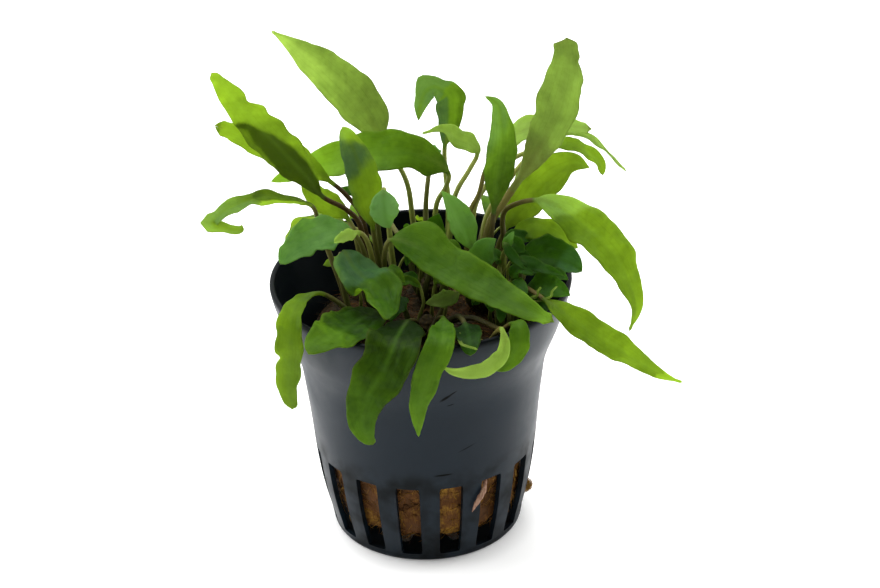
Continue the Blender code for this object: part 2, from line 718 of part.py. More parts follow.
def make_leaf(name, leaf, material):
    """A leaf in one solid: a stalk that flattens into a blade."""
    points = [leaf_foot(leaf)] + [Vector(point) for point in leaf.route]
    samples, marks = smooth_route(points)
    travelled = walk(samples)
    start, length = travelled[marks[leaf.blade + 1]], travelled[-1]
    first, last = Vector(leaf.face), Vector(leaf.tip_face or leaf.face)
    stations = [start * i / STALK_STATIONS for i in range(STALK_STATIONS)]
    steps = BLADE_STATIONS if length - start > SHORT_BLADE else SHORT_BLADE_STATIONS
    stations += [start + (length - start) * i / steps for i in range(steps + 1)]
    sections = []
    for distance in stations:
        centre, along = at_distance(samples, travelled, distance)
        t = max(0.0, (distance - start) / (length - start))
        facing = first.lerp(last, t)
        side = along.cross(facing).normalized()
        normal = side.cross(along)
        stalk = leaf.stout * (STALK_BASE + (STALK_TOP - STALK_BASE) * min(1.0, distance / start))
        half = max(leaf.width / 2 * blade_share(leaf, t), leaf.blunt if t > 0.5 else stalk)
        flat = min(1.0, t / FLAT_FROM)
        middle = stalk + (MIDRIB_THICKNESS / 2 - stalk) * flat
        edge = stalk / 2 + (EDGE_THICKNESS / 2 - stalk / 2) * flat
        cup = math.radians(leaf.cup) * flat
        sections.append(leaf_section(centre, side, normal, half, cup, middle, edge))
    return add_object(name, loft(sections), material)


def make_root(name, route, material):
    """A root: a thin tapering tube."""
    samples, _ = smooth_route([Vector(point) for point in route], per_span=3)
    rings = []
    for i, centre in enumerate(samples):
        along = (samples[min(i + 1, len(samples) - 1)] - samples[max(i - 1, 0)]).normalized()
        side = along.cross(Vector((0, -1, 0.3))).normalized()
        normal = side.cross(along)
        radius = ROOT_RADIUS * (1 - (1 - ROOT_TIP_SHARE) * i / (len(samples) - 1))
        turns = [2 * math.pi * k / ROOT_SIDES for k in range(ROOT_SIDES)]
        rings.append([centre + (side * math.cos(a) + normal * math.sin(a)) * radius for a in turns])
    return add_object(name, loft(rings), material)


def main():
    clear_scene()
    make_pot(make_material("pot_plastic", (0.03, 0.035, 0.042), 0.35))
    make_wool(make_material("rock_wool", (0.20, 0.11, 0.05), 0.95))
    crown_finish = make_material("crown_skin", (0.16, 0.10, 0.05), 0.6)
    for name, place in CROWNS.items():
        make_crown(name, place, crown_finish)
    leaf_finish = make_material("leaf_skin", (0.14, 0.33, 0.03), 0.4)
    for name, leaf in LEAVES.items():
        make_leaf(name, leaf, leaf_finish)
    root_finish = make_material("root_skin", (0.55, 0.42, 0.33), 0.6)
    for name, route in ROOTS.items():
        make_root(name, route, root_finish)


main()
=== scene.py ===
"""The looks of a potted cryptocoryne: living leaves, rootstocks, rock wool and a moulded growing pot.

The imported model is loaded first, and each piece here stands for the solid of the same place. Sizes in
the classes are millimetres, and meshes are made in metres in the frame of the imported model: +Z is up
and -Y is the front.
"""

import logging
import math
from dataclasses import dataclass
from enum import Enum
from functools import partial
from typing import Callable

import bmesh
import bpy
import numpy as np
from bpy.types import Material, NodeSocket, NodeTree, Object
from mathutils import Matrix, Vector, noise


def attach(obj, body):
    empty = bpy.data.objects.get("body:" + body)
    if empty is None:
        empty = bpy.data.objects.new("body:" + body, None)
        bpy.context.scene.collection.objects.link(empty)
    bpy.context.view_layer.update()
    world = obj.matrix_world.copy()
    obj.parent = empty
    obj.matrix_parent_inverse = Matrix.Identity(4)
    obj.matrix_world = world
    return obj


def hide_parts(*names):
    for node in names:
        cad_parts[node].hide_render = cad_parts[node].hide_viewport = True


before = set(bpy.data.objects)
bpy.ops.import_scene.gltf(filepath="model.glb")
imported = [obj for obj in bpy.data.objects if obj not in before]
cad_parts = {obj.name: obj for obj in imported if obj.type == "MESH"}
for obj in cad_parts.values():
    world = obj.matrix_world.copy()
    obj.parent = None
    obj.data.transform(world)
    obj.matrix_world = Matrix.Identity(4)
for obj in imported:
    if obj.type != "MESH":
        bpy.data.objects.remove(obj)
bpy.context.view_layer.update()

Array = np.ndarray
# A place, a way or a size, and two numbers that belong together.
Place = tuple[float, float, float]
Pair = tuple[float, float]

LOG = logging.getLogger("cryptocoryne")
MM = 0.001
BODY = "root"


# Small helpers


def linear(hex_colour: str) -> tuple[float, float, float, float]:
    """Turns an sRGB hex colour into linear values.

    Args:
        hex_colour: Six hex digits after a hash.

    Returns:
        Red, green, blue and an alpha of 1, linear.
    """
    channels = (int(hex_colour[i : i + 2], 16) / 255 for i in (1, 3, 5))
    red, green, blue = (c / 12.92 if c <= 0.04045 else ((c + 0.055) / 1.055) ** 2.4 for c in channels)
    return (red, green, blue, 1.0)


def per_metre(spacing_mm: float) -> float:
    """How often a pattern of this real spacing repeats in a metre, which is a texture's scale."""
    return 1000.0 / spacing_mm


def add_node(
    tree: NodeTree, kind: str, inputs: dict | None = None, out: str | int = 0,
    stops: dict[float, str] | None = None, **settings
) -> NodeSocket | None:
    """Adds one node, with its settings and what its sockets hold.

    Args:
        tree: The node tree that gets the node.
        kind: Blender's name for the kind of node, without its first word.
        inputs: For a socket's name or number, a plain value or the output that feeds it.
        out: The name or number of the output that is wanted.
        stops: For a colour ramp, a hex colour for each place along it.
        settings: The node's own properties.

    Returns:
        That output, or nothing for a node that has none.
    """
    node = tree.nodes.new("ShaderNode" + kind)
    for name, value in settings.items():
        setattr(node, name, value)
    for i, (place, colour) in enumerate(sorted((stops or {}).items())):
        elements = node.color_ramp.elements
        element = elements[i] if i < len(elements) else elements.new(place)
        element.position = place
        element.color = linear(colour)
    for socket, value in (inputs or {}).items():
        if isinstance(value, NodeSocket):
            tree.links.new(value, node.inputs[socket])
        else:
            node.inputs[socket].default_value = value
    return node.outputs[out] if node.outputs else None


# add_node for one tree, which each finish calls add.
Adder = Callable[..., NodeSocket]


def new_material(name: str) -> tuple[Material, Adder]:
    """Makes a material with an empty node tree.

    Args:
        name: The material's name.

    Returns:
        The material, and what adds a node to its tree.
    """
    material = bpy.data.materials.new(name)
    material.use_nodes = True
    material.node_tree.nodes.clear()
    return material, partial(add_node, material.node_tree)


def smooth_step(low: float, high: float, x: Array) -> Array:
    """Rises smoothly from 0 at low to 1 at high."""
    t = np.clip((x - low) / (high - low), 0.0, 1.0)
    return t * t * (3 - 2 * t)


def drift(places: Array, spacing: float, seed: float) -> Array:
    """Smooth noise at places in millimetres.

    Args:
        places: An array of points, in its last axis.
        spacing: The size of the noise's lumps, in millimetres.
        seed: Moves the noise, so that pieces differ.

    Returns:
        A value from about -1 to 1 for each point.
    """
    flat = places.reshape(-1, 3) / spacing + seed * 7.31
    values = np.fromiter((noise.noise(Vector(p)) for p in flat), float, len(flat))
    return values.reshape(places.shape[:-1])


def polar(radius: Array | float, angle: Array, height: Array | float) -> Array:
    """Points by their distance from the Z axis, their direction and their height, spread to one shape."""
    radius, angle, height = np.broadcast_arrays(radius, angle, height)
    return np.stack([radius * np.cos(angle), radius * np.sin(angle), height], -1)


def circle(count: int) -> Array:
    """Evenly spread directions, in radians."""
    return 2 * np.pi * np.arange(count) / count


def lattice_faces(rows: int, ring: int) -> Array:
    """Quads between successive closed rows of points.

    Args:
        rows: How many rows there are.
        ring: How many points a row has.

    Returns:
        Four point numbers for each quad.
    """
    row, column = np.meshgrid(np.arange(rows - 1), np.arange(ring), indexing="ij")
    near, far = row * ring, (row + 1) * ring
    after = (column + 1) % ring
    return np.stack([near + column, near + after, far + after, far + column], -1).reshape(-1, 4)


def tube_faces(rows: int, ring: int, fans: bool = False) -> list:
    """Quads along a tube, and the faces that close its ends.

    Args:
        rows: How many rows of points there are.
        ring: How many points a row has.
        fans: Whether each end is a fan round a point of its own, which follow the tube's points.

    Returns:
        The point numbers of each face.
    """
    faces = lattice_faces(rows, ring).tolist()
    count = rows * ring
    if not fans:
        return faces + [list(range(ring))[::-1], list(range(count - ring, count))]
    for j in range(ring):
        k = (j + 1) % ring
        faces += [(count, k, j), (count + 1, count - ring + j, count - ring + k)]
    return faces


def new_object(
    name: str, points: Array, faces: list, material: Material, marks: dict[str, Array] | None = None
) -> Object:
    """Makes a smooth object from points in millimetres.

    Args:
        name: The object's name.
        points: Its points, one row each.
        faces: The point numbers of each face.
        material: Its finish.
        marks: A value for each point under each attribute's name, for the finish to read.

    Returns:
        The object, with its faces pointing out.
    """
    mesh = bpy.data.meshes.new(name)
    mesh.from_pydata((np.asarray(points, float) * MM).tolist(), [], [list(map(int, face)) for face in faces])
    for label, values in (marks or {}).items():
        layer = mesh.attributes.new(label, "FLOAT", "POINT")
        layer.data.foreach_set("value", np.asarray(values, np.float32).ravel())
    shape = bmesh.new()
    shape.from_mesh(mesh)
    if shape.calc_volume(signed=True) < 0:
        bmesh.ops.reverse_faces(shape, faces=shape.faces)
    shape.to_mesh(mesh)
    shape.free()
    mesh.shade_smooth()
    mesh.materials.append(material)
    made = bpy.data.objects.new(name, mesh)
    bpy.context.scene.collection.objects.link(made)
    return made


def settle(piece: Object, slot: str, *nodes: str) -> None:
    """Makes a piece ride on the plant's body and stand for its solids.

    Args:
        piece: The finished piece.
        slot: The record's material slot; it is not used.
        nodes: The solids that it replaces.
    """
    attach(piece, BODY)
    if nodes:
        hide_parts(*nodes)
    LOG.info("%s: %d faces", piece.name, len(piece.data.polygons))


def smooth_route(points: list, per_span: int = 16) -> tuple[Array, list[int]]:
    """A smooth curve through points.

    Args:
        points: The points that it passes.
        per_span: How many samples there are from one point to the next.

    Returns:
        The samples, and the number of the sample at each given point.
    """
    given = np.array(points, float)
    ends = np.vstack([2 * given[0] - given[1], given, 2 * given[-1] - given[-2]])
    t = (np.arange(per_span) / per_span)[:, None]
    spans = [
        0.5 * (2 * b + (c - a) * t + (2 * a - 5 * b + 4 * c - d) * t**2 + (3 * b - a - 3 * c + d) * t**3)
        for a, b, c, d in zip(ends, ends[1:], ends[2:], ends[3:])
    ]
    samples = np.vstack(spans + [given[-1:]])
    return samples, [i * per_span for i in range(len(given))]


def unit(vectors: Array) -> Array:
    """The same directions with a length of 1."""
    return vectors / np.maximum(np.linalg.norm(vectors, axis=-1, keepdims=True), 1e-9)


# Finishes


@dataclass(frozen=True)
class LeafTissue:
    """Living leaf blade: thin wet green tissue, which shines a little and glows where light comes through."""

    name: str
    # The colour of the tissue where it is darkest, in the middle of its range, and in its brightest fields.
    shade: str
    deep: str
    bright: str
    # What daylight turns to on its way through one blade.
    through: str
    stalk: str
    rib: str
    passes: float = 0.6
    roughness: float = 0.4
    shine: float = 0.15

    def material(self) -> Material:
        """Builds the finish.

        Returns:
            The material. Its patterns read where a point is on its leaf: across is -1 to 1 from margin to
            margin, off_rib is how far it is from the midrib in millimetres, stalk is 1 on the stalk and
            upper is 1 on the upper side. Tone is 0 to 1 from dark to pale, with painted shade and painted
            highlights in it. The sky's sheen mark is how much a painted reflection of the sky cools the
            green, stem how green the stalk, low how much painted shade darkens the stalk's foot and scar how
            dry.
        """
        material, add = new_material(self.name)
        labels = ("across", "stalk", "upper", "tone", "off_rib", "scar", "stem", "sky_sheen", "low")
        marks = {label: add("Attribute", attribute_name=label, out="Fac") for label in labels}
        place = add("TexCoord", out="Object")
        # Patches of richer and paler green, about 5 mm across, and a fine grain of cells drawn at 0.35 mm.
        patches = add("TexNoise", {"Vector": place, "Scale": per_metre(5.0), "Detail": 3.0, "Roughness": 0.6})
        grain = add("TexNoise", {"Vector": place, "Scale": per_metre(0.35), "Detail": 2.0})
        # Between the veins the skin is quilted, in swellings of about a millimetre.
        quilt = add("TexNoise", {"Vector": place, "Scale": per_metre(1.2), "Detail": 2.0, "Distortion": 0.4})
        # The side veins keep to a share of the width, so they part from the midrib and meet at the tip.
        away = add("Math", {0: marks["across"]}, operation="ABSOLUTE")
        wobble = add("Math", {0: patches, 1: 0.07, 2: away}, operation="MULTIPLY_ADD")
        veins = self.lines(add, wobble, 4, 0.78)
        fine = self.lines(add, wobble, 15, 0.2)

        # The leaf's own tone, with its patches, its fine lines, its quilting, its grain and its dark veins.
        level = {"Value": patches, "From Min": 0.3, "From Max": 0.7, "To Min": -0.29, "To Max": -0.01}
        parts = ((add("MapRange", level), 1.0), (fine, 0.05), (quilt, 0.3), (grain, 0.1), (veins, -0.06))
        toned = marks["tone"]
        for pattern, weight in parts:
            toned = add("Math", {0: pattern, 1: weight, 2: toned}, operation="MULTIPLY_ADD")
        ribbed = {"Value": marks["off_rib"], "From Min": 0.1, "From Max": 0.6, "To Min": 0.55, "To Max": 0.0}
        skinned = add("ValToRGB", {"Fac": toned}, stops={0.0: self.shade, 0.45: self.deep, 1.0: self.bright})
        for share, tint in (
            # Painted reflection: where a wet skin looks at the sky, the sky's cool sheen is painted over the
            # green.
            (marks["sky_sheen"], "#74ac84"),
            (add("MapRange", ribbed), self.rib),
            # The underside is duller and paler, because its cells stand looser.
            (add("MapRange", {"Value": marks["upper"], "To Min": 0.25, "To Max": 0.0}), "#5f8046"),
            # Old scars and torn margins dry to straw.
            (marks["scar"], "#6a5a2c"),
        ):
            skinned = add("Mix", {0: share, 6: skinned, 7: linear(tint)}, out=2, data_type="RGBA")
        # Along a stalk the green gives way to the stalk's own colour, in streaks.
        streaks = add("Math", {0: grain, 1: 0.4, 2: marks["stalk"]}, operation="MULTIPLY_ADD")
        stalked = add("MapRange", {"Value": streaks, "From Min": 0.25, "From Max": 1.05})
        stem = add(
            "Mix", {0: marks["stem"], 6: linear(self.stalk), 7: linear("#98a24e")}, out=2, data_type="RGBA"
        )
        colour = add("Mix", {0: stalked, 6: skinned, 7: stem}, out=2, data_type="RGBA")
        # Painted shade: stalks are drawn dark towards their foot, deep among the leaves.
        colour = add("Mix", {0: marks["low"], 6: colour, 7: linear("#14160a")}, out=2, data_type="RGBA")

        # Dark, thick tissue lets less light through than pale tissue; the painted shade and the painted
        # sky sheen dim the light that comes through too.
        dimmed = add("Math", {0: marks["sky_sheen"], 1: -0.7, 2: toned}, operation="MULTIPLY_ADD")
        clear = add(
            "MapRange", {"Value": dimmed, "From Min": -0.1, "From Max": 0.9, "To Min": 0.35, "To Max": 1.05}
        )
        daylight = add("VectorMath", {0: linear(self.through)[:3], "Scale": clear}, operation="SCALE")
        flushed = add("Math", {0: stalked, 1: 0.8}, operation="MULTIPLY")
        lit = add("Mix", {0: flushed, 6: daylight, 7: stem}, out=2, data_type="RGBA")
        sunk = add("Math", {0: veins, 1: -0.5, 2: grain}, operation="MULTIPLY_ADD")
        rise = add("Math", {0: quilt, 1: 4.0, 2: sunk}, operation="MULTIPLY_ADD")
        bump = add("Bump", {"Height": rise, "Strength": 0.3, "Distance": 0.06 * MM})
        gloss = add(
            "MapRange", {"Value": patches, "To Min": self.roughness - 0.08, "To Max": self.roughness + 0.12}
        )
        skin = add(
            "BsdfPrincipled",
            {
                "Base Color": colour, "Roughness": gloss, "Normal": bump, "IOR": 1.42,
                "Specular IOR Level": self.shine,
            },
        )
        glow = add("BsdfTranslucent", {"Color": lit, "Normal": bump})
        share = add("MapRange", {"Value": marks["stalk"], "To Min": self.passes, "To Max": 0.08})
        both = add("MixShader", {0: share, 1: skin, 2: glow})
        add("OutputMaterial", {"Surface": both})
        return material

    @staticmethod
    def lines(add: Adder, away: NodeSocket, count: int, sharp: float) -> NodeSocket:
        """Lines along a blade, at even shares of its half width.

        Args:
            add: Adds a node.
            away: The share of the half width at which a point is.
            count: How many lines a half has.
            sharp: How much of each line's swing is cut away, from 0 to 1.

        Returns:
            A value of 1 on a line and 0 between lines.
        """
        swing = add("Math", {0: away, 1: 2 * math.pi * count}, operation="MULTIPLY")
        ridge = add("Math", {0: swing}, operation="COSINE")
        return add("MapRange", {"Value": ridge, "From Min": sharp, "From Max": 1.0})


class Tone(Enum):
    """How a leaf looks for its age and place, with a painted sky sheen in one tone and painted shade in
    another.
    """

    # Young leaves in full light: pale yellow-green, and the light comes through them.
    YOUNG = LeafTissue(
        "young_leaf_tissue", "#395a10", "#63901f", "#accb5e", "#cfe490", "#5a4a24", "#8aac44", 0.74
    )
    # Grown leaves in good light: a clear, warm green.
    BRIGHT = LeafTissue(
        "bright_leaf_tissue", "#2a4a0c", "#557c18", "#8cae30", "#c6de66", "#4a3a1e", "#6c9430", 0.72
    )
    # Grown leaves: a fuller green.
    MATURE = LeafTissue(
        "mature_leaf_tissue", "#1f3a0a", "#447218", "#78a234", "#b0cc5c", "#40331a", "#58842a", 0.7
    )
    # Wet leaves that face the sky: green with a painted reflection of the sky, a cool sheen, in the colour.
    SKY_SHEEN = LeafTissue(
        "sky_sheen_leaf_tissue", "#1f4616", "#4a8434", "#86b464", "#acd074", "#40331a", "#5c9044", 0.6, 0.46,
        0.26,
    )
    # Leaves low in the rosette: dark, with the shade of the leaves above painted into their colour.
    DEEP = LeafTissue(
        "shaded_leaf_tissue", "#0f2206", "#26500f", "#4a7a24", "#86ac48", "#2a2012", "#386420", 0.66
    )
    # The tall leaf at the right, with a brown flush along its rib.
    RUDDY = LeafTissue(
        "ruddy_leaf_tissue", "#56602c", "#7f9a44", "#a4c064", "#c4dc84", "#5e4424", "#6a7438", 0.7
    )


@dataclass(frozen=True)
class MouldedPolypropylene:
    """Injection-moulded polypropylene of a growing pot: dark blue-grey, satin, with a fine moulded grain."""

    colour: str = "#0a1720"
    dusty: str = "#18232c"
    # Polypropylene straight from a polished mould is satin, and handling roughens it in patches.
    roughness: float = 0.38
    # Wax that blooms out of the plastic dulls its shine.
    shine: float = 0.15
    grain_mm: float = 0.35
    handling_mm: float = 14.0
    # For each scratch, its middle, its slope in degrees, and half its length, depth and width.
    scratches: tuple[tuple[Place, float, Place], ...] = (
        ((3.9, -23.2, 37.8), 37.0, (1.5, 3.0, 0.36)), ((5.0, -23.5, 38.7), 37.0, (1.3, 3.0, 0.18)),
        ((4.7, -22.4, 35.9), 14.0, (0.8, 3.0, 0.13)), ((3.1, -20.5, 20.3), 2.0, (2.0, 3.0, 0.24)),
        ((7.6, -21.2, 25.6), 22.0, (2.2, 3.0, 0.12)),
    )

    def material(self) -> Material:
        """Builds the finish.

        Returns:
            The material, with handling marks, scuffs, damp stains above the slots and painted shade on the
            inner wall.
        """
        material, add = new_material("moulded_polypropylene")
        place = add("TexCoord", out="Object")
        handled = add(
            "TexNoise",
            {"Vector": place, "Scale": per_metre(self.handling_mm), "Detail": 4.0, "Roughness": 0.6},
        )
        grain = add("TexNoise", {"Vector": place, "Scale": per_metre(self.grain_mm), "Detail": 2.0})
        worn = add("MapRange", {"Value": handled, "From Min": 0.45, "From Max": 0.75, "To Max": 0.35})
        base = add("Mix", {0: worn, 6: linear(self.colour), 7: linear(self.dusty)}, out=2, data_type="RGBA")
        # Water that ran from the slots left darker stains round their tops and between them.
        height = add("SeparateXYZ", {"Vector": place}, out="Z")
        near_slots = {"Value": height, "From Min": 22 * MM, "From Max": 18 * MM}
        low = add("MapRange", near_slots, interpolation_type="SMOOTHSTEP")
        spots = add("TexNoise", {"Vector": place, "Scale": per_metre(5.0), "Detail": 3.0})
        stain = add("MapRange", {"Value": spots, "From Min": 0.4, "From Max": 0.68, "To Max": 0.5})
        stain_and_shade = add("Math", {0: low, 1: stain}, operation="MULTIPLY")
        # The lip is the part that is handled and knocked most, so it is dull.
        lip = {"Value": height, "From Min": 48.6 * MM, "From Max": 49.6 * MM, "To Max": 0.5}
        # Painted shade: the inner wall is drawn darker.
        inside = add("Attribute", attribute_name="inside", out="Fac")
        for mark in (
            *(self.scratch(add, place, *row) for row in self.scratches),
            add("MapRange", lip, interpolation_type="SMOOTHSTEP"),
            add("Math", {0: inside, 1: 0.4}, operation="MULTIPLY"),
        ):
            stain_and_shade = add("Math", {0: stain_and_shade, 1: mark}, operation="MAXIMUM")
        colour = add("Mix", {0: stain_and_shade, 6: base, 7: linear("#070806")}, out=2, data_type="RGBA")
        gloss = add(
            "MapRange",
            {
                "Value": handled, "From Min": 0.3, "From Max": 0.7, "To Min": self.roughness - 0.05,
                "To Max": self.roughness + 0.14,
            },
        )
        bump = add("Bump", {"Height": grain, "Strength": 0.12, "Distance": 0.04 * MM})
        shader = add(
            "BsdfPrincipled",
            {
                "Base Color": colour, "Roughness": gloss, "Normal": bump, "IOR": 1.49,
                "Specular IOR Level": self.shine,
            },
        )
        # Stains, scratches, the lip and the painted shade inside have no shine.
        dull = add("BsdfDiffuse", {"Color": linear("#0a0b09")})
        both = add("MixShader", {0: stain_and_shade, 1: shader, 2: dull})
        add("OutputMaterial", {"Surface": both})
        return material

    @staticmethod
    def scratch(add: Adder, place: NodeSocket, centre: Place, angle: float, size: Place) -> NodeSocket:
        """Finds how far each point lies in a short scratch.

        Args:
            add: Adds a node.
            place: Where a point of the pot is.
            centre: The scratch's middle, in millimetres.
            angle: Its slope, in degrees.
            size: Half its length, depth and width, in millimetres.

        Returns:
            1 in the scratch and 0 outside it.
        """
        fitted = {
            "Vector": place, "Location": Vector(centre) * MM, "Scale": Vector(size) * MM,
            "Rotation": (0.0, -math.radians(angle), 0.0),
        }
        mapped = add("Mapping", fitted, vector_type="TEXTURE")
        far = add("VectorMath", {0: mapped}, operation="LENGTH", out="Value")
        return add("MapRange", {"Value": far, "From Min": 1.0, "From Max": 0.5, "To Max": 0.85})


@dataclass(frozen=True)
class MineralWool:
    """Spun rock wool, browned by water and roots: matt and fibrous, with painted shade on its top."""

    dark: str = "#1d1a07"
    brown: str = "#563413"
    tan: str = "#96702c"
    # Spun fibres lie in bundles about 0.25 mm across, and the wool stains in patches of 6 mm.
    bundle_mm: float = 0.25
    patch_mm: float = 6.0

    def material(self) -> Material:
        """Builds the finish.

        Returns:
            The material.
        """
        material, add = new_material("spun_rock_wool")
        place = add("TexCoord", out="Object")
        patches = add(
            "TexNoise",
            {"Vector": place, "Scale": per_metre(self.patch_mm), "Detail": 4.0, "Roughness": 0.65},
        )
        stretched = add("Mapping", {"Vector": place, "Rotation": (0.5, 0.3, 0.9), "Scale": (1.0, 1.0, 0.25)})
        fibres = add(
            "TexNoise",
            {
                "Vector": stretched, "Scale": per_metre(self.bundle_mm), "Detail": 3.0, "Roughness": 0.7,
                "Distortion": 0.6,
            },
        )
        strand = add("Attribute", attribute_name="strand", out="Fac")
        shade_and_dryness = add("Attribute", attribute_name="shade_and_dryness", out="Fac")
        level = add("Math", {0: fibres, 1: 0.55, 2: patches}, operation="MULTIPLY_ADD")
        lifted = add("Math", {0: strand, 1: 0.5, 2: level}, operation="MULTIPLY_ADD")
        # Painted shade darkens the top, under the leaves, and the tuft's fibres are painted lighter.
        sunk = add("Math", {0: shade_and_dryness, 1: -0.52, 2: lifted}, operation="MULTIPLY_ADD")
        colour = add("ValToRGB", {"Fac": sunk}, stops={0.3: self.dark, 0.78: self.brown, 1.0: self.tan})
        bump = add("Bump", {"Height": fibres, "Strength": 0.7, "Distance": 0.25 * MM})
        damp = add(
            "MapRange", {"Value": patches, "From Min": 0.3, "From Max": 0.7, "To Min": 0.55, "To Max": 0.95}
        )
        shader = add(
            "BsdfPrincipled",
            {"Base Color": colour, "Roughness": damp, "Normal": bump, "Specular IOR Level": 0.15},
        )
        add("OutputMaterial", {"Surface": shader})
        return material


@dataclass(frozen=True)
class PlantSkin:
    """Skin of a rootstock or a root: dull, ringed and streaked."""

    name: str
    dark: str
    light: str
    roughness: float
    streak_mm: float = 0.5

    def material(self) -> Material:
        """Builds the finish.

        Returns:
            The material.
        """
        material, add = new_material(self.name)
        place = add("TexCoord", out="Object")
        drawn = add("Mapping", {"Vector": place, "Scale": (1.0, 1.0, 0.2)})
        streaks = add("TexNoise", {"Vector": drawn, "Scale": per_metre(self.streak_mm), "Detail": 4.0})
        colour = add("ValToRGB", {"Fac": streaks}, stops={0.32: self.dark, 0.7: self.light})
        bump = add("Bump", {"Height": streaks, "Strength": 0.4, "Distance": 0.12 * MM})
        gloss = add(
            "MapRange", {"Value": streaks, "To Min": self.roughness - 0.1, "To Max": self.roughness + 0.15}
        )
        shader = add(
            "BsdfPrincipled",
            {"Base Color": colour, "Roughness": gloss, "Normal": bump, "Specular IOR Level": 0.15},
        )
        add("OutputMaterial", {"Surface": shader})
        return material


# The pot


@dataclass
class Pot:
    """The growing pot: one moulding with a collar, a slotted foot and a drained floor."""

    height: float = 50.0
    wall: float = 1.0
    floor: float = 1.2
    # Radius and height up its outside, before its corners are rounded.
    outline: tuple[Pair, ...] = (
        (17.35, 0.0), (17.5, 0.8), (19.3, 8.0), (20.3, 15.0), (21.2, 25.0), (22.55, 36.0), (23.5, 37.8),
        (24.4, 39.6), (25.2, 42.0), (27.5, 49.5), (27.5, 50.0),
    )
    corner: float = 3.0
    slots: int = 16
    slot_spread: float = math.radians(12.2)
    slot_turn: float = math.radians(1.5)
    slot_heights: Pair = (1.6, 17.2)
    slot_corner: float = 0.35
    # The radius at which the slots' sizes are measured.
    slot_radius: float = 19.0
    # The heights between which the wall is laid out in one cell for each slot.
    band: Pair = (1.3, 18.8)
    cell_columns: int = 12
    cell_rows: int = 22
    cell_steps: tuple[float, ...] = (0.0, 0.14, 0.5, 1.0)
    drains: int = 8
    drain_reach: Pair = (6.5, 13.5)
    drain_width: float = 2.6
    drain_corner: float = 0.8
    drain_band: Pair = (4.0, 15.2)
    drain_rows: int = 10
    drain_steps: tuple[float, ...] = (0.0, 0.12, 0.45, 1.0)
    hub_rings: tuple[float, ...] = (0.6, 2.2)
    # How far the rounded edge under the foot is drawn in.
    tuck: float = 0.5
    edge_rounding: float = 0.09
    # The heights between which the wall steps out to its collar, where its rows lie closest.
    step_band: Pair = (35.0, 41.0)

    @property
    def columns(self) -> int:
        """How many columns of faces go round the pot."""
        return self.slots * self.cell_columns

    def outer(self, height: float | Array) -> Array:
        """The outside's radius at a height, with rounded corners.

        Args:
            height: A height or an array of them.

        Returns:
            The radius for each.
        """
        radii, heights = np.array(self.outline).T
        spread = np.linspace(-self.corner, self.corner, 9)
        near = np.clip(np.asarray(height, float)[..., None] + spread, 0.0, self.height)
        return np.interp(near, heights, radii).mean(-1)

    def on_wall(self, angle: Array, height: Array, inside: bool) -> Array:
        """Points on the wall's outer or inner face.

        Args:
            angle: Directions from the pot's axis.
            height: Heights.
            inside: Whether the inner face is meant.

        Returns:
            The points.
        """
        return polar(self.outer(height) - (self.wall if inside else 0.0), angle, height)

    @staticmethod
    def border(half: Array, counts: tuple[int, int]) -> Array:
        """Points round a rectangle that is centred on 0.

        Args:
            half: Its half sizes.
            counts: How many faces lie along its sides.

        Returns:
            A row of points.
        """
        columns, rows = counts
        x = np.linspace(-half[0], half[0], columns + 1)
        y = np.linspace(-half[1], half[1], rows + 1)
        return np.concatenate([
            np.stack([x[:-1], np.full(columns, -half[1])], -1),
            np.stack([np.full(rows, half[0]), y[:-1]], -1),
            np.stack([x[:0:-1], np.full(columns, half[1])], -1),
            np.stack([np.full(rows, -half[0]), y[:0:-1]], -1),
        ])

    @staticmethod
    def hole(border: Array, half: Array, size: Array, corner: float) -> Array:
        """Shrinks a rectangle of points to a hole with round corners.

        Args:
            border: The rectangle.
            half: Its half sizes.
            size: The hole's half sizes.
            corner: The radius of its corners.

        Returns:
            The hole's points.
        """
        points = border * (size / half)
        middle = size - corner
        beyond = np.abs(points) - middle
        rounded = (beyond > 0).all(-1)
        points[rounded] = np.sign(points[rounded]) * (middle + corner * unit(beyond[rounded]))
        return points

    def build(self, material: Material) -> Object:
        """Makes the pot's mesh.

        Args:
            material: Its finish.

        Returns:
            The pot.
        """
        shape = bmesh.new()

        def grid(points: Array, closed: bool, flip: bool) -> None:
            """Adds rows of points and the faces between them.

            Args:
                points: The rows.
                closed: Whether each row's last point joins its first.
                flip: Whether the faces look the other way.
            """
            rows, count = points.shape[:2]
            verts = [[shape.verts.new(p) for p in row] for row in points.tolist()]
            for i in range(rows - 1):
                for j in range(count if closed else count - 1):
                    k = (j + 1) % count
                    quad = (verts[i][j], verts[i][k], verts[i + 1][k], verts[i + 1][j])
                    shape.faces.new(quad[::-1] if flip else quad)

        around = self.slot_turn + circle(self.columns)
        low, high = self.band
        lip = self.wall * 0.5
        top = self.height - lip
        step_low, step_high = self.step_band
        upper = np.concatenate([
            np.linspace(high, step_low - 1, 12), np.linspace(step_low, step_high, 13),
            np.linspace(step_high + 1, top, 8),
        ])
        below = np.array([0.0, 0.12, 0.35, 0.8, low])
        for inside in (False, True):
            grid(self.on_wall(around, upper[:, None], inside), True, inside)
            foot = np.array([self.floor, low]) if inside else below
            ring = self.on_wall(around, foot[:, None], inside)
            if not inside:
                # The foot's edge is rounded over its lowest 0.8 mm.
                tuck = self.tuck * (1 - np.sqrt(np.clip(1 - (1 - foot / 0.8) ** 2, 0, 1)))
                ring[..., :2] *= (1 - tuck / np.linalg.norm(ring[:, 0, :2], axis=-1))[:, None, None]
            grid(ring, True, inside)

        # The lip is a half round from the outer face to the inner one.
        turn = np.linspace(0, np.pi, 9)[:, None]
        grid(polar(self.outer(top) - lip + lip * np.cos(turn), around, top + lip * np.sin(turn)), True, False)

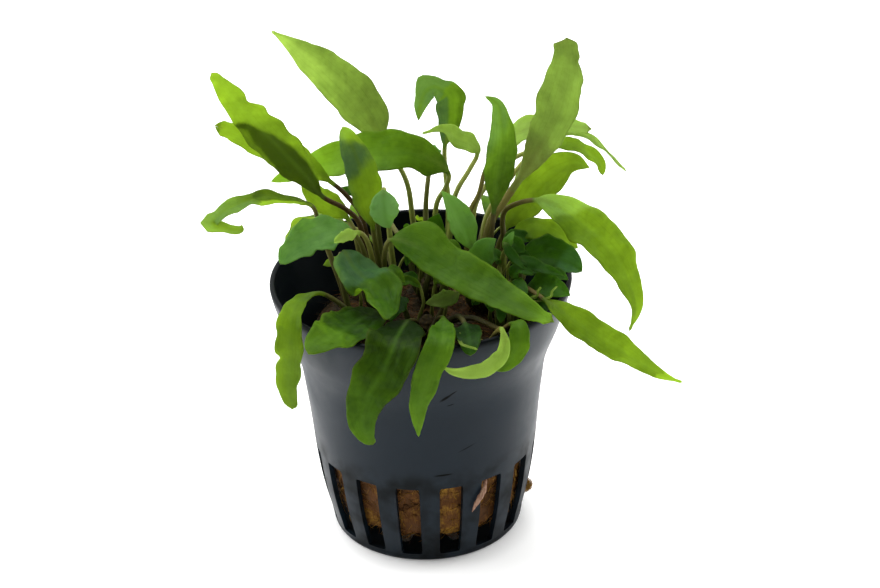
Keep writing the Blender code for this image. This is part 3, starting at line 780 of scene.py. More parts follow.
        pitch = 2 * np.pi / self.slots
        slot_low, slot_high = self.slot_heights
        middle = (low + high) / 2
        half = np.array([pitch / 2 * self.slot_radius, (high - low) / 2])
        size = np.array([self.slot_spread / 2 * self.slot_radius, (slot_high - slot_low) / 2])
        border = self.border(half, (self.cell_columns, self.cell_rows))
        slot = self.hole(border, half, size, self.slot_corner)
        steps = np.array(self.cell_steps)[:, None]
        rings = np.stack([slot + (border - slot) * step for step in steps])
        # The slots' middle is not the band's middle, so the rings slide from one to the other.
        slide = (1 - steps) * ((slot_low + slot_high) / 2 - middle)
        for i in range(self.slots):
            angle = self.slot_turn + pitch * (i + 0.5) + rings[..., 0] / self.slot_radius
            height = middle + rings[..., 1] + slide
            faces = [self.on_wall(angle, height, inside) for inside in (False, True)]
            grid(faces[0], True, True)
            grid(faces[1], True, False)
            grid(np.stack([faces[0][0], (faces[0][0] + faces[1][0]) / 2, faces[1][0]]), True, False)

        self.add_floor(grid, around)
        bmesh.ops.remove_doubles(shape, verts=shape.verts, dist=1e-4)
        bmesh.ops.recalc_face_normals(shape, faces=shape.faces)
        bmesh.ops.scale(shape, vec=(MM, MM, MM), verts=shape.verts)
        mesh = bpy.data.meshes.new("growing_pot")
        shape.to_mesh(mesh)
        shape.free()
        places = np.array([vertex.co for vertex in mesh.vertices]) / MM
        # The inner face is marked, so that the finish paints shade on it.
        within = np.linalg.norm(places[:, :2], axis=1) < self.outer(places[:, 2]) - self.wall / 2
        layer = mesh.attributes.new("inside", "FLOAT", "POINT")
        layer.data.foreach_set("value", within.astype(np.float32))
        mesh.shade_smooth()
        mesh.materials.append(material)
        pot = bpy.data.objects.new("growing_pot", mesh)
        bpy.context.scene.collection.objects.link(pot)
        bevel = pot.modifiers.new("moulded_edges", "BEVEL")
        bevel.width = self.edge_rounding * MM
        bevel.segments = 3
        bevel.limit_method = "ANGLE"
        bevel.angle_limit = math.radians(50)
        bevel.harden_normals = True
        return pot

    def add_floor(self, grid: Callable[[Array, bool, bool], None], around: Array) -> None:
        """Adds the floor with its drains.

        Args:
            grid: Adds rows of points as faces.
            around: The directions of the wall's columns.
        """
        inner, outer = self.drain_band
        spread = 2 * np.pi / self.drains
        start, end = self.drain_reach
        half = np.array([(outer - inner) / 2, spread / 2])
        size = np.array([(end - start) / 2, self.drain_width / 2])
        ring = self.border(half, (self.drain_rows, self.columns // self.drains))
        border = polar((inner + outer) / 2 + ring[:, 0], ring[:, 1], 0.0)[:, :2]
        drain = self.hole(ring, half, size, self.drain_corner) + np.array([(start + end) / 2, 0.0])
        steps = [drain + (border - drain) * step for step in self.drain_steps]
        edge_low = self.on_wall(around, 0 * around, False)
        edge_low[:, :2] *= 1 - self.tuck / np.linalg.norm(edge_low[0, :2])
        edge_high = self.on_wall(around, 0 * around + self.floor, True)
        for height, flip, edge in ((0.0, True, edge_low), (self.floor, False, edge_high)):
            for i in range(self.drains):
                turn = self.slot_turn + spread * (i + 0.5)
                spin = np.array([[math.cos(turn), math.sin(turn)], [-math.sin(turn), math.cos(turn)]])
                flat = np.stack([step @ spin for step in steps])
                grid(np.concatenate([flat, np.full(flat.shape[:2] + (1,), height)], -1), True, flip)
                if not flip:
                    top = np.concatenate([flat[0], np.full((len(drain), 1), height)], -1)
                    grid(np.stack([top, top * (1, 1, 0.5), top * (1, 1, 0)]), True, False)
            rings = polar(np.array([0.0, *self.hub_rings, inner])[:, None], around, height)
            grid(rings, True, flip)
            grid(np.stack([polar(outer, around, height), edge]), True, flip)


# The wool


@dataclass
class WoolPlug:
    """The plug of rock wool: a lumpy felted mass, loose fibres on it, and a tuft pushed out of one slot."""

    pot: Pot
    bottom: float = 4.8
    top: float = 41.0
    gap: float = 0.3
    radius_top: float = 19.6
    columns: int = 240
    tuft_bearing: float = math.radians(-9.75)
    tuft_reach: float = 17.6
    tuft_height: float = 6.8
    tuft_size: Place = (2.7, 1.6, 1.8)
    top_fibres: int = 1900
    side_fibres: int = 2600
    tuft_fibres: int = 520
    fibre_radius: float = 0.05
    fibre_steps: int = 5
    seed: int = 11

    def surface(self, share: Array) -> Array:
        """Radius and height of the plug before it is roughened.

        Args:
            share: Places along its outline, 0 under its middle and 1 on top of its middle.

        Returns:
            Radius and height for each.
        """
        inset = self.pot.wall + self.gap
        low = float(self.pot.outer(self.bottom)) - inset
        wall = [(float(self.pot.outer(z)) - inset, z) for z in np.linspace(6.4, 34.0, 10)]
        under = [(0.0, 0.0), (low * 0.6, 0.0), (low - 1.2, 0.0), (low - 0.2, 0.7)]
        over = [
            (21.2, 37.5), (self.radius_top, 39.9), (self.radius_top - 1.4, 40.8), (10.0, self.top),
            (0.0, self.top),
        ]
        corners = np.array([(radius, self.bottom + rise) for radius, rise in under] + wall + over)
        steps = np.linalg.norm(np.diff(corners, axis=0), axis=1)
        travelled = np.concatenate([[0], np.cumsum(steps)]) / steps.sum()
        return np.stack([np.interp(share, travelled, corners[:, i]) for i in (0, 1)], -1)

    def build(self, material: Material) -> list[Object]:
        """Makes the plug and its fibres.

        Args:
            material: The wool's finish.

        Returns:
            The plug and the loose fibres.
        """
        shares = np.concatenate(
            [np.linspace(0.01, 0.28, 16), np.linspace(0.29, 0.52, 64), np.linspace(0.53, 0.99, 66)]
        )
        outline = self.surface(shares)
        points = self.roughen(polar(outline[:, :1], circle(self.columns), outline[:, 1:]))
        ends = np.array([[0, 0, self.bottom + 0.2], [0, 0, self.top]])
        flat = np.vstack([points.reshape(-1, 3), ends])
        faces = tube_faces(len(shares), self.columns, fans=True)
        # Painted shade: the plug is drawn darker towards its top, which lies under the leaves.
        shade_and_dryness = smooth_step(34, 40.5, flat[:, 2]) * (0.75 + 0.25 * drift(flat, 5.0, 3.0))
        plug = new_object("wool_plug", flat, faces, material, {"strand": 0 * shade_and_dryness, "shade_and_dryness": shade_and_dryness})
        return [plug, self.fibres(material)]

    def roughen(self, points: Array) -> Array:
        """Gives the plug lumps, hollows and a ragged lower edge.

        Args:
            points: Rows of points round the plug.

        Returns:
            The moved points, none of them further out than the pot's wall allows.
        """
        lumps = drift(points, 6.0, 1.0)
        crumbs = drift(points, 1.6, 2.0)
        radius = np.linalg.norm(points[..., :2], axis=-1, keepdims=True)
        out = np.concatenate([points[..., :2] / np.maximum(radius, 1e-6), 0 * radius], -1)
        up = smooth_step(39.0, 40.6, points[..., 2])[..., None]
        down = smooth_step(self.bottom + 1.0, self.bottom + 0.1, points[..., 2])[..., None]
        side = (1 - up) * (1 - down)
        inward = -np.clip(0.35 + 0.55 * lumps + 0.35 * crumbs, 0.0, 1.4)[..., None]
        raised = (0.55 * lumps + 0.45 * crumbs - 0.25)[..., None]
        ragged = (0.9 * drift(points * (1, 1, 0), 4.0, 5.0) + 0.3 * crumbs)[..., None]
        height = np.array([0.0, 0.0, 1.0])
        edge = np.clip(ragged, -0.5, 0.9)
        return points + out * inward * side + height * raised * up + height * edge * down

    def fibres(self, material: Material) -> Object:
        """Makes the loose fibres, as one joined mesh of fine tubes.

        The real fibres are a hundredth of a millimetre thick. They are drawn as bundles a tenth across, so
        that they show.

        Args:
            material: The wool's finish.

        Returns:
            The fibres.
        """
        rng = np.random.default_rng(self.seed)
        up = np.array([0.0, 0.0, 1.0])
        # Those that lie on top, with the top's painted shade.
        count = self.top_fibres
        radius = self.radius_top * np.sqrt(rng.random(count)) * 0.97
        angle = rng.random(count) * 2 * np.pi
        heading = rng.random(count) * 2 * np.pi
        groups = [(
            polar(radius, angle, self.top - 0.1), polar(1.0, heading, rng.normal(0.08, 0.16, count)),
            np.tile(up, (count, 1)), rng.uniform(1.5, 5.5, count), np.full(count, 0.8),
        )]
        # Those round the side, which show in the slots.
        count = self.side_fibres
        angle = rng.random(count) * 2 * np.pi
        height = rng.uniform(self.bottom - 0.1, 18.5, count)
        radius = self.pot.outer(height) - self.pot.wall - self.gap - rng.uniform(0.0, 0.7, count)
        out = polar(1.0, angle, 0.0)
        heading = rng.normal(0.0, 1.0, count)[:, None]
        way = np.cross(up, out) * np.cos(heading) + up * np.sin(heading) - out * 0.1
        groups.append((polar(radius, angle, height), way, out, rng.uniform(1.2, 4.5, count), np.zeros(count)))
        # Those of the tuft, dry and pale, and painted paler still against the shade that falls on them.
        # Its axes point out of the slot, along the wall and up.
        count = self.tuft_fibres
        turn = np.array([math.cos(self.tuft_bearing), math.sin(self.tuft_bearing), 0.0])
        axes = np.array([turn, np.cross(up, turn), up])
        ball = unit(rng.normal(size=(count, 3)))
        ball[:, 0] = np.abs(ball[:, 0])
        scaled = ball * np.array(self.tuft_size) * (0.5 + 0.42 * rng.random((count, 1)))
        wrap = np.cross(ball, unit(rng.normal(size=(count, 3))))
        groups.append((
            (scaled + np.array([self.tuft_reach, 0.0, self.tuft_height])) @ axes, wrap @ axes, ball @ axes,
            rng.uniform(0.7, 1.7, count), np.full(count, -0.9),
        ))
        starts, ways, ups, lengths, shade_and_dryness_levels = (np.concatenate(parts) for parts in zip(*groups))
        return self.bundle(rng, starts, unit(ways), unit(ups), lengths, shade_and_dryness_levels, material)

    def bundle(
        self, rng: np.random.Generator, starts: Array, ways: Array, ups: Array, lengths: Array,
        shade_and_dryness_levels: Array, material: Material,
    ) -> Object:
        """Joins fine bent three-sided tubes into one mesh.

        Args:
            rng: The source of the bends.
            starts: Where each tube's middle is.
            ways: The way that each one lies.
            ups: The way out of the surface that each one lies on.
            lengths: How long each one is.
            shade_and_dryness_levels: How deep in painted shade each one is; the tuft's are negative, for dry
                fibres painted lighter.
            material: Their finish.

        Returns:
            The bundle.
        """
        count = len(starts)
        along = np.linspace(-0.5, 0.5, self.fibre_steps)
        sideways = np.cross(ways, ups)
        bend = rng.normal(0.0, 0.22, (count, 2))
        reach = lengths[:, None] * along
        curve = along**2 * 4 * lengths[:, None]
        path = (
            starts[:, None, :]
            + ways[:, None, :] * reach[..., None]
            + sideways[:, None, :] * (curve * bend[:, :1])[..., None]
            - ups[:, None, :] * (curve * (0.06 + 0.1 * np.abs(bend[:, 1:])))[..., None]
        )
        taper = np.sqrt(np.clip(1.02 - (2 * along) ** 2, 0.05, 1.0))
        thick = self.fibre_radius * taper * rng.uniform(0.6, 1.5, (count, 1))
        spokes = [ups * math.cos(turn) + sideways * math.sin(turn) for turn in circle(3)]
        points = np.stack([path + spoke[:, None, :] * thick[..., None] for spoke in spokes], 2).reshape(-1, 3)
        size = self.fibre_steps * 3
        offsets = (np.arange(count) * size)[:, None, None]
        quads = (lattice_faces(self.fibre_steps, 3) + offsets).reshape(-1, 4)
        caps = (np.array([[2, 1, 0], [size - 3, size - 2, size - 1]]) + offsets).reshape(-1, 3)
        marks = {"shade_and_dryness": np.repeat(shade_and_dryness_levels, size), "strand": np.repeat(rng.uniform(-0.5, 1.0, count), size)}
        return new_object("wool_fibres", points, quads.tolist() + caps.tolist(), material, marks)


# The plants


# Where each rootstock stands, and the height of its foot, both in millimetres.
CROWNS: dict[str, Pair] = {
    "left": (-7.0, 5.0), "back": (1.5, 8.0), "rear": (9.0, 14.5), "right": (11.5, 4.0),
    "far_right": (15.0, -4.5), "front": (1.0, -7.0), "front_left": (-9.5, -5.0),
}
CROWN_FOOT = 41.3


@dataclass(frozen=True)
class Bump:
    """A bulge of a leaf's margin, or a bite out of it.

    side is -1 for the left margin, looking from foot to tip at the upper side, and 1 for the right.
    """

    side: int
    at: float
    reach: float
    size: float


@dataclass(frozen=True)
class Shade:
    """A field of a blade that is darker, as painted shade where another leaf keeps the light from it, or
    paler, as a painted highlight.

    border gives a place across the blade, from -1 to 1, for shares of its length. The field lies to the
    left of it where side is -1, and to the right where side is 1. soft is how wide its edge is, and the
    last field how much a painted reflection of the sky cools its green.
    """

    side: int
    border: tuple[Pair, ...]
    depth: float = 0.0
    soft: float = 0.15
    sky_sheen: float = 0.0


@dataclass(frozen=True)
class Leaf:
    """One leaf, from its crown to its tip.

    bearing is where round the crown the stalk starts, in degrees from +X, or None for the crown's middle.
    The midrib passes the points of route, and the blade starts at the point numbered blade.
    face and tip_face are the ways that the upper side looks at the blade's foot and tip. The blade is
    widest at a share of its length, foot and sharp are how fast it narrows to its ends, blunt is the half
    width left at its tip, and cup folds its two halves up, in degrees. stout is how thick its stalk is
    beside the others.
    tone_shift makes a leaf lighter or darker than others of its tone. wave is how far the margin swings,
    ripples how often. torn holds how much is missing at the tip, for places across the blade.
    """

    crown: str
    bearing: float | None
    blade: int
    width: float
    face: Place
    route: tuple[Place, ...]
    tone: Tone = Tone.MATURE
    tip_face: Place | None = None
    widest: float = 0.4
    foot: float = 1.0
    sharp: float = 0.8
    blunt: float = 0.3
    cup: float = 8.0
    stout: float = 1.0
    tone_shift: float = 0.0
    wave: float = 0.3
    ripples: float = 3.0
    bumps: tuple[Bump, ...] = ()
    torn: tuple[Pair, ...] = ()
    # How much darker the blade's foot is than its tip, as painted shade deep in the rosette, and how far
    # up the blade the stalk's colour runs.
    foot_shade: float = 0.25
    flush: float = 0.0
    # 0 is a brown stalk and 1 a pale green one.
    stem: float = 0.35
    # How crumpled the blade is, and how much a painted reflection of the sky cools its green all over.
    crumple: float = 0.4
    sky_sheen: float = 0.0
    shades: tuple[Shade, ...] = ()


@dataclass
class LeafMaker:
    """Makes one leaf's mesh: a stalk that flattens into a blade with a rib, veins and a wavy margin."""

    name: str
    leaf: Leaf
    seed: int
    columns: int = 25
    stalk_foot: float = 0.62
    stalk_top: float = 0.42
    sheath: float = 1.0
    thickness: float = 0.13
    rib_height: float = 0.34
    rib_width: float = 0.42
    # The share of the blade over which the stalk flattens, and how far up the stalk the painted shade
    # at its foot reaches.
    flat_from: float = 0.22
    stalk_shade_reach: float = 16.0
    # The length of a row of faces, and the fewest and the most rows.
    stalk_row: tuple[float, int, int] = (0.8, 8, 40)
    blade_row: tuple[float, int, int] = (0.42, 36, 110)
    # How many side veins a half has, their width as a share of the space between them, and their depth.
    veins: int = 4
    vein_width: float = 0.18
    vein_depth: float = 0.015

    def foot(self) -> list[Place]:
        """Where the stalk leaves its crown.

        Returns:
            One or two points, from inside the crown outwards.
        """
        x, y = CROWNS[self.leaf.crown]
        if self.leaf.bearing is None:
            return [(x, y, CROWN_FOOT + 2.2), (x, y, CROWN_FOOT + 4.6)]
        angle = math.radians(self.leaf.bearing)
        way = (math.cos(angle), math.sin(angle))
        return [
            (x + 1.0 * way[0], y + 1.0 * way[1], CROWN_FOOT + 0.1),
            (x + 2.9 * way[0], y + 2.9 * way[1], CROWN_FOOT + 2.0),
        ]

    def build(self, material: Material) -> Object:
        """Makes the leaf.

        Args:
            material: Its finish.

        Returns:
            The leaf.
        """
        points, faces, values = self.mesh()
        return new_object(self.name, points, faces, material, values)

    def mesh(self) -> tuple[Array, list, dict[str, Array]]:
        """Lays the leaf out.

        Returns:
            Its points, its faces, and what its finish reads at each point.
        """
        leaf = self.leaf
        feet = self.foot()
        samples, given = smooth_route(feet + list(leaf.route))
        travelled = np.concatenate([[0], np.cumsum(np.linalg.norm(np.diff(samples, axis=0), axis=1))])
        start, total = travelled[given[leaf.blade + len(feet)]], travelled[-1]
        length = total - start
        stalk_rows = int(np.clip(start / self.stalk_row[0], *self.stalk_row[1:]))
        blade_rows = int(np.clip(length / self.blade_row[0], *self.blade_row[1:]))
        # The rows lie a little closer together at both ends of the blade.
        share = np.linspace(0, 1, blade_rows + 1)
        share = share + 0.1 * np.sin(2 * np.pi * share) / (2 * np.pi)
        distance = np.concatenate([np.linspace(0, start, stalk_rows + 1)[:-1], start + length * share])
        t = np.clip((distance - start) / length, 0.0, 1.0)

        def at(places: Array) -> Array:
            """Points of the route at distances along it."""
            return np.stack([np.interp(places, travelled, samples[:, i]) for i in range(3)], -1)

        centre = at(distance)
        along = unit(at(np.minimum(distance + 0.3, total)) - at(np.maximum(distance - 0.3, 0.0)))
        first = np.array(leaf.face, float)
        last = np.array(leaf.tip_face or leaf.face, float)
        facing = first + (last - first) * t[:, None]
        side = unit(np.cross(along, facing))
        normal = np.cross(side, along)

        spread = np.linspace(-1, 1, self.columns)
        flat = smooth_step(0.0, self.flat_from, t)[:, None]
        across = (1 - flat) * np.sin(spread * np.pi / 2) + flat * spread
        stalk = self.stalk_foot + (self.stalk_top - self.stalk_foot) * np.minimum(1.0, distance / start)
        stalk = leaf.stout * stalk + (self.sheath - self.stalk_foot) * np.exp(-((distance / 3.0) ** 2))
        halves = self.half_widths(t, length, stalk)
        half = np.where(across < 0, halves[0][:, None], halves[1][:, None])
        out = half * np.abs(across)

        angle = np.radians(leaf.cup) * flat * np.abs(across) ** 0.5
        sideways = np.sign(across) * out * np.cos(angle)
        lift = out * np.sin(angle) + self.undulation(t, across, out, length)

        rib = np.exp(-((out / self.rib_width) ** 2)) * (1 - t[:, None]) ** 0.6
        edge = np.sqrt(np.clip(1 - np.abs(across) ** 6, 0, 1))
        vein = (np.abs(across) * self.veins) % 1.0
        sunk = np.exp(-((vein / self.vein_width) ** 2)) + np.exp(-(((vein - 1.0) / self.vein_width) ** 2))
        sunk = sunk * smooth_step(0.03, 0.2, np.abs(across)) * smooth_step(1.0, 0.9, np.abs(across))
        sunk = self.vein_depth * sunk * np.minimum(half / 3.0, 1.0)
        tube = stalk[:, None] * np.sqrt(np.clip(1 - across**2, 0, 1))
        above = (1 - flat) * tube * 0.8 + flat * edge * (self.thickness - 0.05 * rib - sunk)
        below = (1 - flat) * tube + flat * edge * (self.thickness + self.rib_height * rib + 0.5 * sunk)

        back = self.tear(t, across, length)
        middle = (
            centre[:, None, :]
            + side[:, None, :] * sideways[..., None]
            + normal[:, None, :] * lift[..., None]
            - along[:, None, :] * back[..., None]
        )
        # Each skin is set off along the blade's own slope, so that a steep flank keeps its thickness.
        slope = np.sign(across) * angle
        way = normal[:, None, :] * np.cos(slope)[..., None] - side[:, None, :] * np.sin(slope)[..., None]
        upper = middle + way * above[..., None]
        lower = middle - way * below[..., None]
        ring = np.concatenate([upper, lower[:, -2:0:-1]], 1)
        rows, size = ring.shape[:2]

        tone, sky_sheen = self.tones(t, across)
        # Painted shade: the stalk is drawn darker towards its foot, deep among the leaves.
        low = np.clip(1 - distance / self.stalk_shade_reach, 0, 1) ** 0.8 * 0.88
        marks = {
            "across": across, "stalk": self.stalk_share(distance < start, t, out), "tone": tone,
            "sky_sheen": sky_sheen, "low": low[:, None] + 0 * across, "stem": leaf.stem + 0 * across,
            "off_rib": out, "scar": self.scars(t, across),
        }
        # The columns of the underside have what those of the upper side have, in turn.
        marks = {label: np.concatenate([value, value[:, -2:0:-1]], 1) for label, value in marks.items()}
        marks["upper"] = np.repeat(np.arange(size)[None] < self.columns, rows, 0).astype(float)
        points = np.vstack([ring.reshape(-1, 3), ring[0].mean(0), ring[-1].mean(0)])
        marks = {label: np.append(value, [value[0, 0], value[-1, 0]]) for label, value in marks.items()}
        return points, tube_faces(rows, size, fans=True), marks

    def tones(self, t: Array, across: Array) -> tuple[Array, Array]:
        """How pale each point is, with painted shade and highlights, and how much painted sky sheen it has.

        Args:
            t: The share of the blade at each row.
            across: Where each column is, from -1 to 1.

        Returns:
            The tone of each point, 0 to 1 from dark to pale, and the share of painted sky sheen on it, from 0
            to 1.
        """
        leaf = self.leaf
        rows = t[:, None] + 0.01 * np.sin(5 * across + self.seed)
        # The foot is painted darker than the tip, as shade deep in the rosette.
        tone = 0.5 + leaf.tone_shift + leaf.foot_shade * (rows - 0.6)
        sky_sheen = leaf.sky_sheen + 0 * tone
        for shade in leaf.shades:
            shares, places = np.array(shade.border).T
            beyond = shade.side * (across - np.interp(rows, shares, places))
            inside = smooth_step(-shade.soft, shade.soft, beyond)
            tone = tone - shade.depth * inside
            sky_sheen = sky_sheen + shade.sky_sheen * inside
        return tone, np.clip(sky_sheen, 0.0, 0.9)

    def stalk_share(self, on_stalk: Array, t: Array, out: Array) -> Array:
        """How far each point has the stalk's colour: it runs on up the midrib, and fades.

        Args:
            on_stalk: Whether each row is on the stalk.
            t: The share of the blade at each row.
            out: The distance of each point from the midrib.

        Returns:
            The share for each point.
        """
        rows = t[:, None]
        up_rib = np.exp(-((out / 0.7) ** 2)) * (1 - smooth_step(0.0, 0.3, rows)) * 0.3
        flush = self.leaf.flush
        flushed = 0.4 * (1 - smooth_step(0.3 * flush, max(flush, 1e-3), rows)) * (flush > 0)
        return np.where(on_stalk[:, None], 1.0, np.maximum(up_rib, flushed + 0 * out))

    def half_widths(self, t: Array, length: float, stalk: Array) -> list[Array]:
        """The blade's half widths, left and right, along the leaf.

        Args:
            t: The share of the blade at each row.
            length: The blade's length.
            stalk: The stalk's radius at each row.

        Returns:
            The left and the right half widths.
        """
        leaf = self.leaf
        rise = np.sin(np.pi / 2 * np.clip(t / leaf.widest, 0, 1)) ** leaf.foot
        fall = np.cos(np.pi / 2 * np.clip((t - leaf.widest) / (1 - leaf.widest), 0, 1)) ** leaf.sharp
        plain = leaf.width / 2 * rise * fall
        to_tip = (1 - t) * length
        blunt = np.where(t > 0.5, np.maximum(plain, leaf.blunt), plain)
        rounding = 0.35 if leaf.torn else max(leaf.blunt * 1.3, 0.35)
        round_tip = np.sqrt(np.clip(1 - (1 - to_tip / rounding) ** 2, 0.01, 1))
        shaped = np.where(to_tip < rounding, blunt * round_tip, blunt)
        halves = []
        for sign in (-1, 1):
            phase = self.seed * 1.7 + sign
            ripple = 1 + 0.035 * np.sin(2 * np.pi * (leaf.ripples * 1.9 * t + phase)) * np.sin(np.pi * t)
            # A grown margin is never smooth: it wanders a little, at about 1.3 and 3 mm.
            spots = np.stack([t * length, 0 * t + phase, 0 * t], -1)
            uneven = 0.11 * drift(spots, 1.3, phase) + 0.16 * drift(spots, 3.0, phase + 3)
            half = shaped * ripple + uneven * np.minimum(shaped / 1.5, 1.0) * np.sin(np.pi * t) ** 0.5
            for bump in leaf.bumps:
                if bump.side == sign:
                    half = half + bump.size * np.exp(-(((t - bump.at) / bump.reach) ** 2))
            halves.append(np.maximum(half, np.where(t < 0.5, stalk, 0.03)))
        return halves

    def undulation(self, t: Array, across: Array, out: Array, length: float) -> Array:
        """How far the blade swells and dips out of its own plane.

        Args:
            t: The share of the blade at each row.
            across: Where each column is, from -1 to 1.
            out: The distance of each point from the midrib.
            length: The blade's length.

        Returns:
            The rise of each point.
        """
        leaf = self.leaf
        rows = t[:, None]
        turns = leaf.ripples * rows + self.seed * 0.37
        left = np.sin(2 * np.pi * turns)
        right = np.sin(2 * np.pi * (turns * 1.13 + 0.31))
        swing = np.where(across < 0, left, right) * np.abs(across) ** 2.2
        inside = np.sin(np.pi * np.clip(rows, 0, 1)) ** 0.6
        places = np.stack(
            [rows * length + 0 * across, np.sign(across) * out, 0 * across + self.seed * 3.1], -1
        )
        swell = drift(places, 3.6, self.seed * 0.77) * 0.45 * (0.3 + np.abs(across))
        swell = swell + drift(places, 1.5, self.seed * 0.41 + 5) * 0.1
        # Creases are sharp valleys between soft swellings.
        creased = 0.35 - np.abs(drift(places * (0.6, 1.0, 1.0), 2.3, self.seed * 1.3 + 9)) * 1.6
        swell = swell - leaf.crumple * np.clip(creased, 0, 1) * 0.9 * smooth_step(0.3, 1.6, out)
        swell = swell + leaf.crumple * 0.5 * drift(places, 2.4, self.seed * 0.9 + 2)
        pillows = 0.02 * np.sin(np.pi * np.abs(across) * 4) ** 2 * np.minimum(out / 2.0, 1.0)
        return (leaf.wave * swing + swell + pillows) * inside

    def tear(self, t: Array, across: Array, length: float) -> Array:
        """How far each point is drawn back from a torn tip.

        Args:
            t: The share of the blade at each row.
            across: Where each column is, from -1 to 1.
            length: The blade's length.

        Returns:
            The distance for each point.
        """
        if not self.leaf.torn:
            return 0 * across
        places, depths = np.array(self.leaf.torn).T
        return np.interp(across, places, depths) * smooth_step(1 - 5.0 / length, 1.0, t)[:, None]

    def scars(self, t: Array, across: Array) -> Array:
        """How dry the tissue is: a thin line along a torn tip, and a little at a worn margin.

        Args:
            t: The share of the blade at each row.
            across: Where each column is, from -1 to 1.

        Returns:
            The dryness of each point, from 0 to 1.
        """
        worn = smooth_step(0.93, 1.0, np.abs(across)) * 0.25
        tip = smooth_step(0.965, 1.0, t)[:, None] * (0.7 if self.leaf.torn else 0.35)
        return np.maximum(worn, tip)


